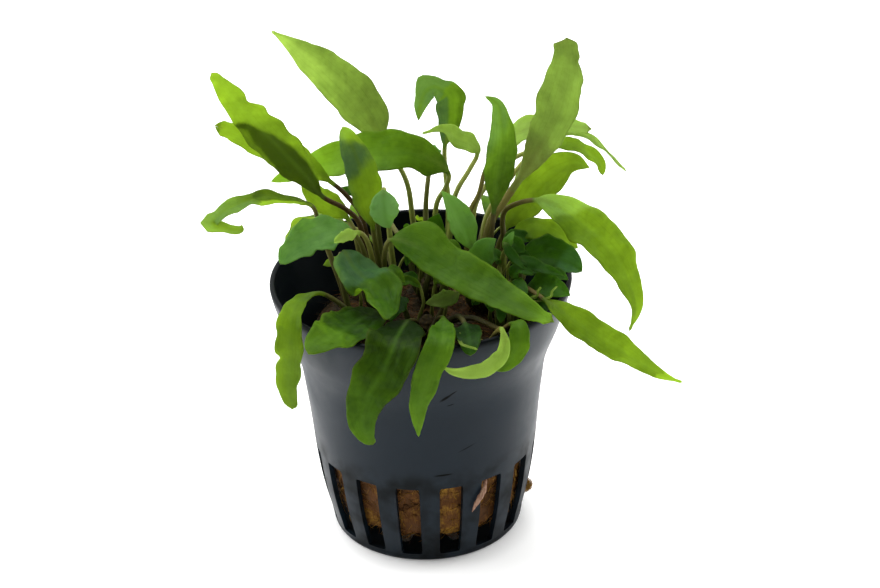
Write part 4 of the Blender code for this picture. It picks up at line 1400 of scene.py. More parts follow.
LEAVES: dict[str, Leaf] = {
    "back_left_tall": Leaf(
        "back", 120, 2, 8.2, (0.2, -0.85, 0.5), (
            (-1.2, 12.5, 55), (-2.3, 14, 62.5), (-6.4, 15.5, 69.8), (-9.8, 17, 75.5), (-14.5, 18.5, 81),
            (-20.2, 20.5, 85.3), (-25.7, 22, 89),
        ), Tone.YOUNG, widest=0.33, foot=0.7, sharp=1.0, blunt=0.35, tone_shift=-0.12, wave=0.35, ripples=2.6,
        bumps=(
            Bump(1, 0.12, 0.1, 1.0), Bump(1, 0.36, 0.05, 0.5), Bump(-1, 0.55, 0.08, 0.35),
            Bump(-1, 0.72, 0.05, 0.3),
        ), foot_shade=0.3, stem=0.8, shades=(
            Shade(-1, ((0.3, -1.2), (0.5, 0.0), (1, 0.4)), -0.16, 0.3),
            Shade(1, ((0, -0.15), (0.6, 0.1), (0.8, 1.2)), 0.1, 0.2),
        ),
    ),
    "left_long": Leaf(
        "left", 155, 2, 6.8, (-0.2, -0.85, 0.5), (
            (-10.5, 7, 55.8), (-13, 7, 60), (-17.2, 6, 63.3), (-20.4, 5, 68.6), (-24.7, 4.5, 74.3),
            (-29.3, 4, 80.3), (-35.2, 3, 89.2),
        ), Tone.BRIGHT, foot=0.9, sharp=0.55, blunt=1.1, tone_shift=-0.02, wave=0.45, ripples=3.4, bumps=(
            Bump(1, 0.74, 0.035, -0.9), Bump(1, 0.66, 0.04, 0.6), Bump(1, 0.5, 0.04, 0.35),
            Bump(1, 0.36, 0.05, 0.4),
        ), stem=0.0, shades=(
            Shade(-1, ((0, 1.2), (0.18, 0.65), (0.33, 0.5), (0.5, 0.2), (0.62, -0.3), (0.7, -1.2)), 0.87),
            Shade(-1, ((0.26, -1.2), (0.36, -0.8), (0.6, -0.55), (0.7, -1.2)), -0.6),
        ),
    ),
    "left_under": Leaf(
        "left", 120, 2, 5.8, (0, -0.75, 0.65), (
            (-10.3, 10.5, 56), (-12.8, 12, 60), (-15.5, 12.3, 62.8), (-20, 12, 66.6), (-25.5, 12, 70),
            (-31, 12, 72.9), (-36.4, 12.5, 74.9),
        ), Tone.BRIGHT, widest=0.45, sharp=0.5, blunt=1.5, tone_shift=0.05,
        torn=((-1.0, 1.2), (-0.4, 0.2), (0.1, 1.9), (0.5, 0.1), (1.0, 1.0)), stem=0.0,
    ),
    "across": Leaf(
        "back", 52, 2, 7.6, (0, -0.8, 0.6), (
            (3, 11.5, 57), (5, 11.2, 62), (5.5, 10.5, 65.2), (2.4, 10, 68.3), (-3, 10, 70), (-10, 12.8, 68.4),
            (-17.5, 16.5, 64.9), (-27.2, 18.5, 60.6),
        ), widest=0.35, foot=0.75, sharp=0.7, tone_shift=0.16, wave=0.4, ripples=3.5,
        bumps=(Bump(-1, 0.1, 0.05, 1.2), Bump(-1, 0.22, 0.04, -0.4), Bump(1, 0.3, 0.05, 0.3)), foot_shade=0.9,
        stem=1.0, shades=(Shade(-1, ((0.2, -0.2), (1, -0.1)), -0.1, 0.15),),
    ),
    "left_hook": Leaf(
        "front_left", 165, 4, 3.5, (0, -0.35, 0.95), (
            (-14.5, -1.5, 50), (-16.3, 1, 54.5), (-17.8, 2.8, 58.5), (-18.2, 2.8, 61), (-19.2, 1, 64.2),
            (-23.2, -1.5, 66.6), (-28, -3, 67.7), (-32.3, -4, 66.7), (-36.2, -4.5, 64.1), (-34, -5, 62.8),
            (-30.8, -5.5, 62.6),
        ), Tone.BRIGHT, widest=0.45, foot=0.8, sharp=0.35, blunt=1.15, cup=10, tone_shift=-0.1, wave=0.35,
        ripples=3.3, bumps=(
            Bump(-1, 0.2, 0.12, 0.5), Bump(-1, 0.4, 0.02, 0.25), Bump(-1, 0.46, 0.03, -0.4),
            Bump(-1, 0.57, 0.025, 0.35), Bump(-1, 0.66, 0.03, -0.3), Bump(1, 0.78, 0.04, 0.8),
            Bump(-1, 0.99, 0.012, 0.8),
        ), stem=0.2, shades=(
            Shade(-1, ((0, -0.5), (0.4, -0.4), (0.42, -1.2)), -0.5),
            Shade(1, ((0, -0.5), (0.42, -0.4), (0.45, 1.2)), 0.25),
            Shade(-1, ((0.38, -1.2), (0.6, 1.2)), -0.25, 0.5, 0.35),
        ),
    ),
    "left_broad": Leaf(
        "left", 223, 1, 7.4, (0, -0.55, 0.83), (
            (-10, 1.5, 54), (-12.1, 0.3, 59), (-15, -0.8, 59.8), (-19, -2.5, 59.4), (-22.3, -4.5, 58.2),
            (-24.7, -6.5, 56.4),
        ), Tone.SKY_SHEEN, foot=0.8, sharp=0.6, tone_shift=0.12, wave=0.4,
        bumps=(Bump(-1, 0.35, 0.06, 0.6), Bump(-1, 0.55, 0.04, -0.4), Bump(1, 0.8, 0.04, -0.4)), foot_shade=0.1,
        crumple=0.5,
    ),
    "left_inner": Leaf(
        "left", 189, 1, 4.6, (0, -0.8, 0.6),
        ((-11.4, 6.2, 54), (-12.8, 8.5, 57.2), (-15.5, 8.8, 59.8), (-18.5, 8.5, 62.3), (-21, 8.5, 65.6)),
        Tone.BRIGHT, sharp=0.6, tone_shift=-0.05,
    ),
    "left_pale": Leaf(
        "left", 257, 2, 2.4, (0, -0.5, 0.87),
        ((-8.5, 0, 53), (-9.4, -1.6, 58.3), (-10.8, -2.8, 60.4), (-12.8, -4.2, 60.4), (-15, -5.4, 59.8)),
        Tone.YOUNG, sharp=0.5, tone_shift=0.7, wave=0.15, stem=0.6,
    ),
    "left_crinkled": Leaf(
        "front_left", 205, 2, 8.4, (0.4, -0.7, 0.6), (
            (-13.4, -5.5, 49), (-14.4, -4.6, 55), (-13.5, -5, 57.7), (-12, -7.6, 56.4), (-10.2, -10, 55.4),
            (-7.9, -12.6, 54.6), (-6.4, -16.2, 53.7), (-6.1, -21, 52.5),
        ), widest=0.42, foot=0.45, sharp=0.65, tone_shift=-0.04, wave=0.45, ripples=2.4,
        bumps=(Bump(1, 0.12, 0.1, 0.3), Bump(-1, 0.6, 0.06, 0.5), Bump(-1, 0.38, 0.05, -0.5)), crumple=1.5,
        shades=(
            Shade(-1, ((0, 1.2), (0.35, 1.2), (0.5, -1.2)), 0.05, 0.4, 0.3),
            Shade(1, ((0, 0.7), (0.3, 0.72), (0.35, 1.2)), -0.4, 0.15),
        ),
    ),
    "front_left_broad": Leaf(
        "front_left", 285, 0, 9.4, (-0.1, -0.5, 0.86), (
            (-7.4, -9.8, 47.6), (-9, -13.6, 49.6), (-12, -19.5, 50.8), (-15, -24.3, 51.7),
            (-17.6, -27.2, 51.6), (-19.2, -29.2, 50.8),
        ), widest=0.5, foot=0.7, sharp=0.55, tone_shift=-0.26, wave=0.45, ripples=3.5,
        bumps=(Bump(-1, 0.4, 0.06, 0.4), Bump(-1, 0.62, 0.05, -0.4)), crumple=1.2,
    ),
    "left_hanging": Leaf(
        "front_left", 240, 1, 5.4, (0, -0.2, 1), (
            (-13.2, -8.5, 48), (-17.2, -8.8, 51.4), (-20, -12, 52.8), (-21.8, -15.8, 53),
            (-22.8, -18.8, 50.6), (-23, -19.6, 46.9), (-23.2, -19.4, 42.3), (-23.7, -19.2, 38.2),
            (-23.2, -19, 34),
        ), Tone.BRIGHT, tip_face=(-0.5, -0.8, 0.2), widest=0.62, foot=0.9, sharp=0.3, blunt=1.0, wave=0.4,
        ripples=4, bumps=(
            Bump(1, 0.66, 0.03, -0.6), Bump(1, 0.74, 0.04, 0.4), Bump(-1, 0.6, 0.05, 0.3),
            Bump(-1, 0.8, 0.04, -0.4),
        ),
    ),
    "front_big": Leaf(
        "front", 240, 1, 9.3, (0, -0.3, 0.95), (
            (-1, -11.5, 46.8), (-2.2, -14.5, 48.6), (-3, -19, 50), (-3.7, -23.5, 51.2), (-4.5, -27.3, 51.6),
            (-5.5, -29.4, 49.9), (-7.3, -30.2, 46.4), (-9.4, -30.6, 42.7), (-10.5, -30.5, 38.6),
            (-10.1, -30, 35.1), (-8.9, -29.5, 32.7),
        ), tip_face=(-0.2, -1, 0.1), widest=0.36, foot=0.7, sharp=0.6, blunt=1.2, tone_shift=-0.32, wave=0.4,
        ripples=3.2, bumps=(Bump(1, 0.6, 0.05, 0.4), Bump(-1, 0.74, 0.1, -0.5)), foot_shade=0.7, stem=0.1,
        crumple=0.8, shades=(
            Shade(1, ((0, 0.05), (0.72, 0.1), (0.8, 1.2)), 0.1, 0.1),
            Shade(-1, ((0, 1.2), (0.18, 1.2), (0.3, -1.2)), 0.6, 0.4),
            Shade(-1, ((0, -0.1), (0.7, -0.05), (0.75, -1.2)), 0.08, 0.12),
            Shade(-1, ((0.5, -1.2), (0.62, 1.2), (0.76, 1.2), (0.84, -1.2)), -0.08, 0.5),
        ),
    ),
    "front_narrow": Leaf(
        "front", 275, 1, 5.0, (0, -0.3, 0.95), (
            (2.8, -11, 46.8), (3.8, -14, 48.8), (3.9, -19, 50.4), (3.6, -25, 51.8), (3.3, -28, 51.9),
            (2.6, -29.6, 50.6), (1, -30.4, 47.4), (0, -30.6, 43.9), (-0.8, -30.4, 40.7), (-1, -30, 37.3),
            (-1, -29.4, 34),
        ), tip_face=(0.1, -1, 0.1), widest=0.5, foot=0.8, tone_shift=-0.03, foot_shade=0.15, stem=0.1,
        shades=(Shade(-1, ((0, -0.05), (1, 0)), -0.1, 0.1),),
    ),
    "diagonal": Leaf(
        "left", 293, 2, 7.8, (0.1, -0.6, 0.8), (
            (-6.4, 0, 51.5), (-6.1, -3, 56.8), (-4.8, -4.2, 59.4), (0, -5.5, 58.3), (6, -8.5, 55.6),
            (12, -12.5, 53.5), (17.4, -16.5, 51.8), (23, -20, 50.5),
        ), widest=0.3, foot=0.55, sharp=0.6, blunt=1.3, tone_shift=0.17, wave=0.4,
        bumps=(Bump(-1, 0.13, 0.09, 2.2), Bump(1, 0.45, 0.06, 0.3), Bump(-1, 0.6, 0.08, 0.2)),
        torn=((-1.0, 0.8), (-0.3, 0.0), (0.4, 0.4), (1.0, 1.0)), foot_shade=0.28,
    ),
    "centre_pointed": Leaf(
        "right", 195, 1, 5.0, (0.2, -0.9, 0.4),
        ((9.6, 2.4, 50), (9.3, 2, 54), (8, 2, 58.5), (6.5, 2.5, 62), (4.2, 3, 65.2)), Tone.SKY_SHEEN, foot=0.7,
        sharp=0.9, tone_shift=0.25, wave=0.2, crumple=0.35, shades=(Shade(-1, ((0, 0), (1, 0)), -0.12, 0.1),),
    ),
    "back_low": Leaf(
        "back", 250, 1, 5.2, (0, -0.9, 0.45),
        ((1.5, 5.8, 47), (1.6, 7.2, 50.5), (2, 8.2, 52.8), (2.8, 8.8, 55.4), (3.6, 9, 57.8)), Tone.DEEP,
        foot=0.6, tone_shift=-0.05, wave=0.2,
    ),
    "folded": Leaf(
        "back", 8, 2, 5.0, (0.1, -0.95, 0.3), (
            (5.4, 11.5, 57), (5, 13.4, 64), (5, 13.6, 69), (5.9, 13.6, 73.4), (6.1, 13.5, 76.9),
            (5.8, 13.4, 79.2), (3.6, 13, 81), (1.9, 12.6, 80.5), (0.9, 12.2, 78.4), (0.4, 12, 75),
        ), widest=0.42, foot=0.7, sharp=0.75, tone_shift=0.04, wave=0.25, bumps=(
            Bump(1, 0.45, 0.035, 0.7), Bump(1, 0.6, 0.04, -0.4), Bump(-1, 0.62, 0.06, -0.5),
            Bump(1, 0.7, 0.03, 0.9), Bump(1, 0.8, 0.04, -0.3),
        ), stem=1.0, shades=(
            Shade(-1, ((0, -0.1), (0.5, -0.1), (0.52, -1.2)), -0.05, 0.1, 0.65),
            Shade(-1, ((0.52, -1.2), (0.56, 1.2), (1, 1.2)), -0.2, 0.4, 0.6),
            Shade(1, ((0, 0.5), (0.5, 0.6), (0.52, 1.2)), 0.25, 0.12),
        ),
    ),
    "middle_hook": Leaf(
        "back", 330, 3, 4.0, (0, -0.5, 0.85), (
            (5.4, 7, 54), (6.6, 7.4, 62), (9.2, 7.8, 66.8), (10.8, 7.6, 70.2), (9.6, 7.3, 72.3),
            (7.6, 7, 73.4), (4.6, 6.8, 75.6), (1, 6.5, 75),
        ), Tone.YOUNG, widest=0.3, foot=0.6, sharp=1.5, tone_shift=0.05, wave=0.2, stem=1.0,
    ),
    "middle_right": Leaf(
        "right", 155, 2, 5.6, (0, -0.35, 0.95), (
            (8.8, 8.6, 56), (11, 10.2, 61), (12.2, 11, 65.2), (14.6, 12, 69), (19.5, 13, 72),
            (25.5, 14, 72.4), (32, 15, 70.9),
        ), Tone.RUDDY, widest=0.45, sharp=0.5, blunt=1.5, tone_shift=0.1, wave=0.35,
        torn=((-1.0, 1.0), (-0.2, 0.1), (0.6, 0.6), (1.0, 1.2)),
    ),
    "centre_upright": Leaf(
        "right", 272, 2, 5.5, (0.1, -0.9, 0.4), (
            (12.4, 0.8, 52), (13, 1.2, 58), (13.4, 1.5, 61.5), (14.2, 1.5, 68), (15, 1.5, 74.5),
            (14.9, 1.5, 79), (14.2, 1.5, 82.5), (12.2, 1.5, 84),
        ), widest=0.42, foot=0.9, foot_shade=0.85, stem=0.1, shades=(
            Shade(-1, ((0, -0.1), (1, 0)), -0.12, 0.1),
            Shade(-1, ((0.45, -1.2), (0.85, 1.2)), -0.1, 0.6, 0.45),
        ),
    ),
    "tall_right": Leaf(
        "right", None, 3, 7.6, (-0.3, -0.9, 0.3), (
            (12, 5, 53), (13, 5.5, 57.7), (15, 5.5, 61), (17, 5.3, 64.2), (19.7, 5, 68.6), (22.2, 4.5, 73.4),
            (24.3, 4, 78.5), (25.8, 3.5, 84.3), (26.6, 3, 89.6), (26.2, 2.5, 94.2),
        ), Tone.RUDDY, widest=0.58, foot=1.1, sharp=0.5, blunt=1.75, stout=1.6, tone_shift=-0.2, wave=0.35,
        bumps=(
            Bump(1, 0.86, 0.02, -0.6), Bump(-1, 0.62, 0.06, 0.3), Bump(1, 0.78, 0.03, 0.4),
            Bump(-1, 0.96, 0.05, 0.5), Bump(1, 0.96, 0.04, 0.5),
        ), torn=((-1.0, 0.6), (0.6, 0.0), (1.0, 0.3)), foot_shade=-0.05, flush=0.5,
        shades=(Shade(1, ((0, 0.1), (0.7, 0.3), (0.9, 1.2)), -0.12, 0.2),),
    ),
    "right_bright": Leaf(
        "right", 55, 1, 8.2, (0, -0.75, 0.65), (
            (14, 8.4, 50), (15.7, 9, 54.3), (18.5, 10, 58.3), (21.6, 10.5, 62.2), (24.9, 11, 64.8),
            (28.3, 11.5, 66), (31.2, 12, 64.7),
        ), Tone.BRIGHT, widest=0.45, foot=0.8, sharp=0.9, tone_shift=-0.05, bumps=(Bump(1, 0.8, 0.05, -0.4),),
        shades=(Shade(1, ((0, 0), (1, 0.1)), 0.12, 0.15),),
    ),
    "right_back_curl": Leaf(
        "right", 121, 3, 3.4, (0, -0.4, 0.9), (
            (9.8, 10.5, 56), (12.4, 13.5, 61), (17, 15.5, 65), (22, 16.5, 66.7), (27, 17, 67.3),
            (30.6, 17, 65.9), (33.3, 16.5, 63.6), (33.9, 16, 61.2),
        ), Tone.BRIGHT, sharp=0.5, tone_shift=-0.1, wave=0.2, stem=0.7,
    ),
    "right_back_narrow": Leaf(
        "right", 88, 2, 2.6, (0, -0.2, 1), (
            (12, 12, 54), (17, 16.5, 61), (23, 19.5, 66.5), (28, 20.5, 68.2), (32.3, 21, 66.3),
            (35.4, 21.5, 63), (38.6, 22, 59.1),
        ), Tone.YOUNG, sharp=0.7, tone_shift=-0.1, wave=0.15, stem=0.7,
    ),
    "right_drooping": Leaf(
        "right", 22, 3, 7.8, (0.3, -0.75, 0.6), (
            (15.2, 6.6, 52), (15.2, 7, 58), (17, 6.2, 60.4), (21, 4, 62.4), (24.9, 1.5, 62.1),
            (29.4, -1.5, 59.9), (32.8, -4, 57.5), (35.4, -5.5, 54.2), (37.8, -6.5, 48.7), (38.3, -7, 45),
            (37.1, -7.5, 41.4),
        ), Tone.BRIGHT, widest=0.36, foot=0.7, sharp=1.1, wave=0.4, ripples=4,
        bumps=(Bump(1, 0.3, 0.05, 0.3), Bump(-1, 0.5, 0.05, 0.3)), stem=0.2, shades=(
            Shade(-1, ((0, 1.2), (0.12, 1.2), (0.3, -1.2)), -0.6, 0.4, 0.4),
            Shade(1, ((0.1, 0.0), (1, 0.1)), 0.08, 0.1),
        ),
    ),
    "right_low_long": Leaf(
        "far_right", 130, 3, 5.5, (0.2, -0.7, 0.7), (
            (14.2, -3, 49), (17.2, -7, 51.2), (20, -10.5, 51.4), (21.7, -13.5, 51.5), (24.7, -16.5, 50.8),
            (30.2, -19, 47.4), (35.1, -20.5, 44.7), (39, -21.5, 42.2), (42.1, -22, 40.3), (45.2, -22.5, 39.3),
        ), Tone.BRIGHT, widest=0.35, foot=0.8, sharp=1.0, tone_shift=0.05, wave=0.35, ripples=3.5, foot_shade=0.4,
        stem=0.1,
        shades=(Shade(1, ((0.82, 1.2), (0.9, -1.2)), -0.7, 0.4), Shade(1, ((0, 0.0), (0.9, 0.1)), 0.1, 0.12)),
    ),
    "right_arching": Leaf(
        "right", 312, 1, 4.6, (0, -0.6, 0.8),
        ((15, 1.8, 50), (16.2, 3, 55), (20, 3.6, 56.9), (24.5, 3.2, 55.9), (28.5, 2.4, 53.3)), Tone.BRIGHT,
        sharp=0.6,
    ),
    "far_right_upper": Leaf(
        "far_right", 15, 1, 8.2, (0.2, -0.6, 0.75), (
            (17.9, -2.2, 49.5), (18.1, -1, 52), (20.4, -1.3, 53.3), (23.6, -2.2, 53.8), (26.6, -2.9, 53.1),
            (28.9, -3.4, 51.6),
        ), Tone.DEEP, foot=0.6, sharp=0.7, cup=16, tone_shift=-0.05, crumple=0.8,
        shades=(Shade(1, ((0, 1.2), (0.55, 1.2), (0.7, -1.2)), -0.25, 0.5, 0.3),),
    ),
    "far_right_lower": Leaf(
        "far_right", 330, 1, 5.6, (0.2, -0.65, 0.7),
        ((18.2, -5.6, 48), (18.6, -6.8, 50), (21, -8.6, 51.3), (24, -10.2, 51.7), (26.3, -11.1, 50.9)),
        Tone.DEEP, foot=0.8, cup=14, tone_shift=0.16, crumple=0.8,
    ),
    "front_curl": Leaf(
        "front", 308, 4, 2.9, (0.4, -0.5, 0.8), (
            (5.6, -10.2, 44.6), (8.8, -14.4, 44.9), (11.4, -18.6, 46.2), (13, -21.8, 49.9), (13.8, -24.4, 52),
            (14.2, -26.2, 50.6), (13.6, -27.2, 48.4), (11.6, -28.2, 46.9), (8.6, -29.2, 46.4),
            (5.6, -29.8, 46.9), (3.6, -29.9, 47.8),
        ), Tone.YOUNG, tip_face=(0, -0.95, -0.3), widest=0.55, foot=0.6, sharp=0.7, tone_shift=0.32,
        wave=0.15, stem=0.2,
    ),
    "centre_small": Leaf(
        "front", 50, 1, 3.6, (0, -0.6, 0.8),
        ((5.4, -5, 48.5), (6.6, -7.6, 50.2), (4.5, -9.3, 50), (0.8, -10, 49.6)), Tone.RUDDY,
        tone_shift=-0.1, wave=0.2, foot_shade=0.0,
    ),
    "front_inner": Leaf(
        "front", 340, 2, 4.8, (0, -0.7, 0.7), (
            (5.6, -10, 46.4), (6.8, -13.2, 48.4), (7.6, -18, 49.6), (8, -22.5, 50.5), (8.2, -26, 50.9),
            (8.3, -28.8, 49.4),
        ), Tone.DEEP, foot=0.7, sharp=0.4, tone_shift=-0.3, wave=0.2, stem=0.1, crumple=0.5,
    ),
    "front_right_strap": Leaf(
        "front", 14, 3, 3.8, (0.1, -0.5, 0.85), (
            (8.4, -9.5, 46.2), (11.4, -13.2, 47), (13.8, -17.2, 48), (15.6, -20.6, 50.9), (16.8, -23, 51.6),
            (16.7, -24.8, 49.8), (15.9, -25.6, 47.6), (14.3, -26, 45.8), (12.4, -26.5, 45.2),
        ), tip_face=(0.2, -0.95, 0.2), sharp=0.5, tone_shift=-0.05, wave=0.25, stem=0.1,
    ),
    "centre_left_small": Leaf(
        "left", 330, 3, 5.4, (0, -0.9, 0.4), (
            (-5.2, 3.2, 54), (-5.6, 3, 62), (-6, 2, 66), (-6.1, 1, 66.6), (-6.1, 0, 64.6), (-5.9, -0.6, 62),
            (-5.2, -0.9, 60),
        ), Tone.SKY_SHEEN, widest=0.45, foot=0.6, sharp=0.85, tone_shift=0.55, wave=0.25, stem=0.9, crumple=0.35,
        sky_sheen=0.25,
    ),
    "upright_left": Leaf(
        "left", None, 1, 6.0, (0, -0.95, 0.3), (
            (-7.9, 4.8, 53), (-8.4, 4.4, 57.5), (-8.9, 4.1, 62), (-9.3, 4.1, 66), (-10.2, 4.1, 70),
            (-11.4, 4.1, 73.8), (-12.9, 4.1, 77.8),
        ), Tone.BRIGHT, foot=0.8, sharp=0.45, blunt=1.0, tone_shift=-0.05, wave=0.4, foot_shade=0.35, stem=0.4,
        shades=(
            Shade(-1, ((0.48, -1.2), (0.68, 1.2), (0.78, 1.2), (0.92, -1.2)), 0.3, 0.9, 0.5),
            Shade(-1, ((0.84, -1.2), (0.96, 1.2)), -0.3, 0.8, 0.45),
        ),
    ),
    "left_behind": Leaf(
        "left", 85, 1, 2.6, (0, -0.6, 0.8),
        ((-7.4, 10.5, 52), (-8.4, 12, 58.5), (-11.5, 13, 60.6), (-14.8, 13.4, 61.2)), Tone.DEEP, wave=0.15,
    ),
    "back_left": Leaf(
        "back", 155, 2, 6.0, (0, 0.1, 1), (
            (-2.2, 12, 48.5), (-4.8, 17, 51), (-7, 21, 52.5), (-9, 25.5, 52.6), (-10.3, 28.6, 49.5),
            (-11, 30, 44), (-11, 29.5, 38),
        ), tip_face=(0, 1, 0.2), wave=0.4, ripples=4,
    ),
    "back_far_left": Leaf(
        "left", 50, 2, 6.4, (-0.2, 0.3, 1), (
            (-5.6, 11, 47.5), (-9, 15, 50), (-13.5, 17.5, 51.8), (-18, 20.5, 52.6), (-21.6, 23.2, 50),
            (-23.2, 24.6, 44), (-22.8, 24.2, 37),
        ), Tone.BRIGHT, tip_face=(-0.6, 0.8, 0.1), wave=0.4, ripples=4,
    ),
    "back_right": Leaf(
        "back", None, 2, 5.0, (0, 0.1, 1),
        ((1.2, 12.5, 56), (1.7, 14.2, 61.5), (2.3, 16.8, 64.2), (2, 20.5, 65), (0, 25.5, 62)), Tone.SKY_SHEEN,
    ),
    "back_far_right": Leaf(
        "far_right", 50, 2, 5.0, (0.2, 0.3, 1), (
            (18.6, 2.5, 48), (21.5, 6.5, 50.6), (24, 10, 52), (26.2, 13, 51.6), (27, 14.8, 48.8),
            (26.4, 15.4, 45.6),
        ), tip_face=(0.8, 0.5, 0.2),
    ),
    "rear_hanging": Leaf(
        "rear", 60, 1, 6.6, (0.1, 0.2, 1), (
            (11.4, 19.5, 47.5), (12.4, 22, 50.4), (13.6, 25, 51.9), (14.8, 27.8, 50.4), (15.6, 28.9, 45),
            (15.4, 28.5, 37.5),
        ), tip_face=(0.5, 0.85, 0.1), wave=0.4, ripples=3.5,
    ),
    "rear_small": Leaf(
        "rear", 150, 1, 4.4, (0, 0.5, 0.85),
        ((5, 17.5, 46.6), (3.6, 19.4, 49), (1.4, 22.4, 49.8), (-0.6, 25.2, 48.6)), Tone.BRIGHT,
        tip_face=(0, 0.9, 0.4),
    ),
    "middle_low": Leaf(
        "right", 234, 1, 5.0, (0.1, -0.75, 0.6),
        ((9.2, -0.4, 47), (9.8, -1.8, 51), (10.6, -2.4, 54), (11.9, -2.8, 56.8), (13.6, -3, 58.4)),
        Tone.SKY_SHEEN, foot=0.7, wave=0.25,
    ),
    "front_shaded": Leaf(
        "front", 180, 1, 4.8, (-0.1, -0.3, 0.95),
        ((-3, -6.9, 47), (-3.6, -7.8, 49.6), (-4.2, -9.8, 50.2), (-4.8, -12.2, 49.8), (-5.4, -14.8, 48.8)),
        Tone.DEEP, foot=0.6, tone_shift=-0.1, wave=0.25, crumple=0.5,
    ),
}


@dataclass(frozen=True)
class Shoot:
    """One small leaf of the crowded middle: its crown and bearing, its width, and the way of its midrib."""

    crown: str
    bearing: float
    width: float
    route: tuple[Place, ...]
    tone_shift: float = 0.0
    face: Place = (0.0, -0.6, 0.8)


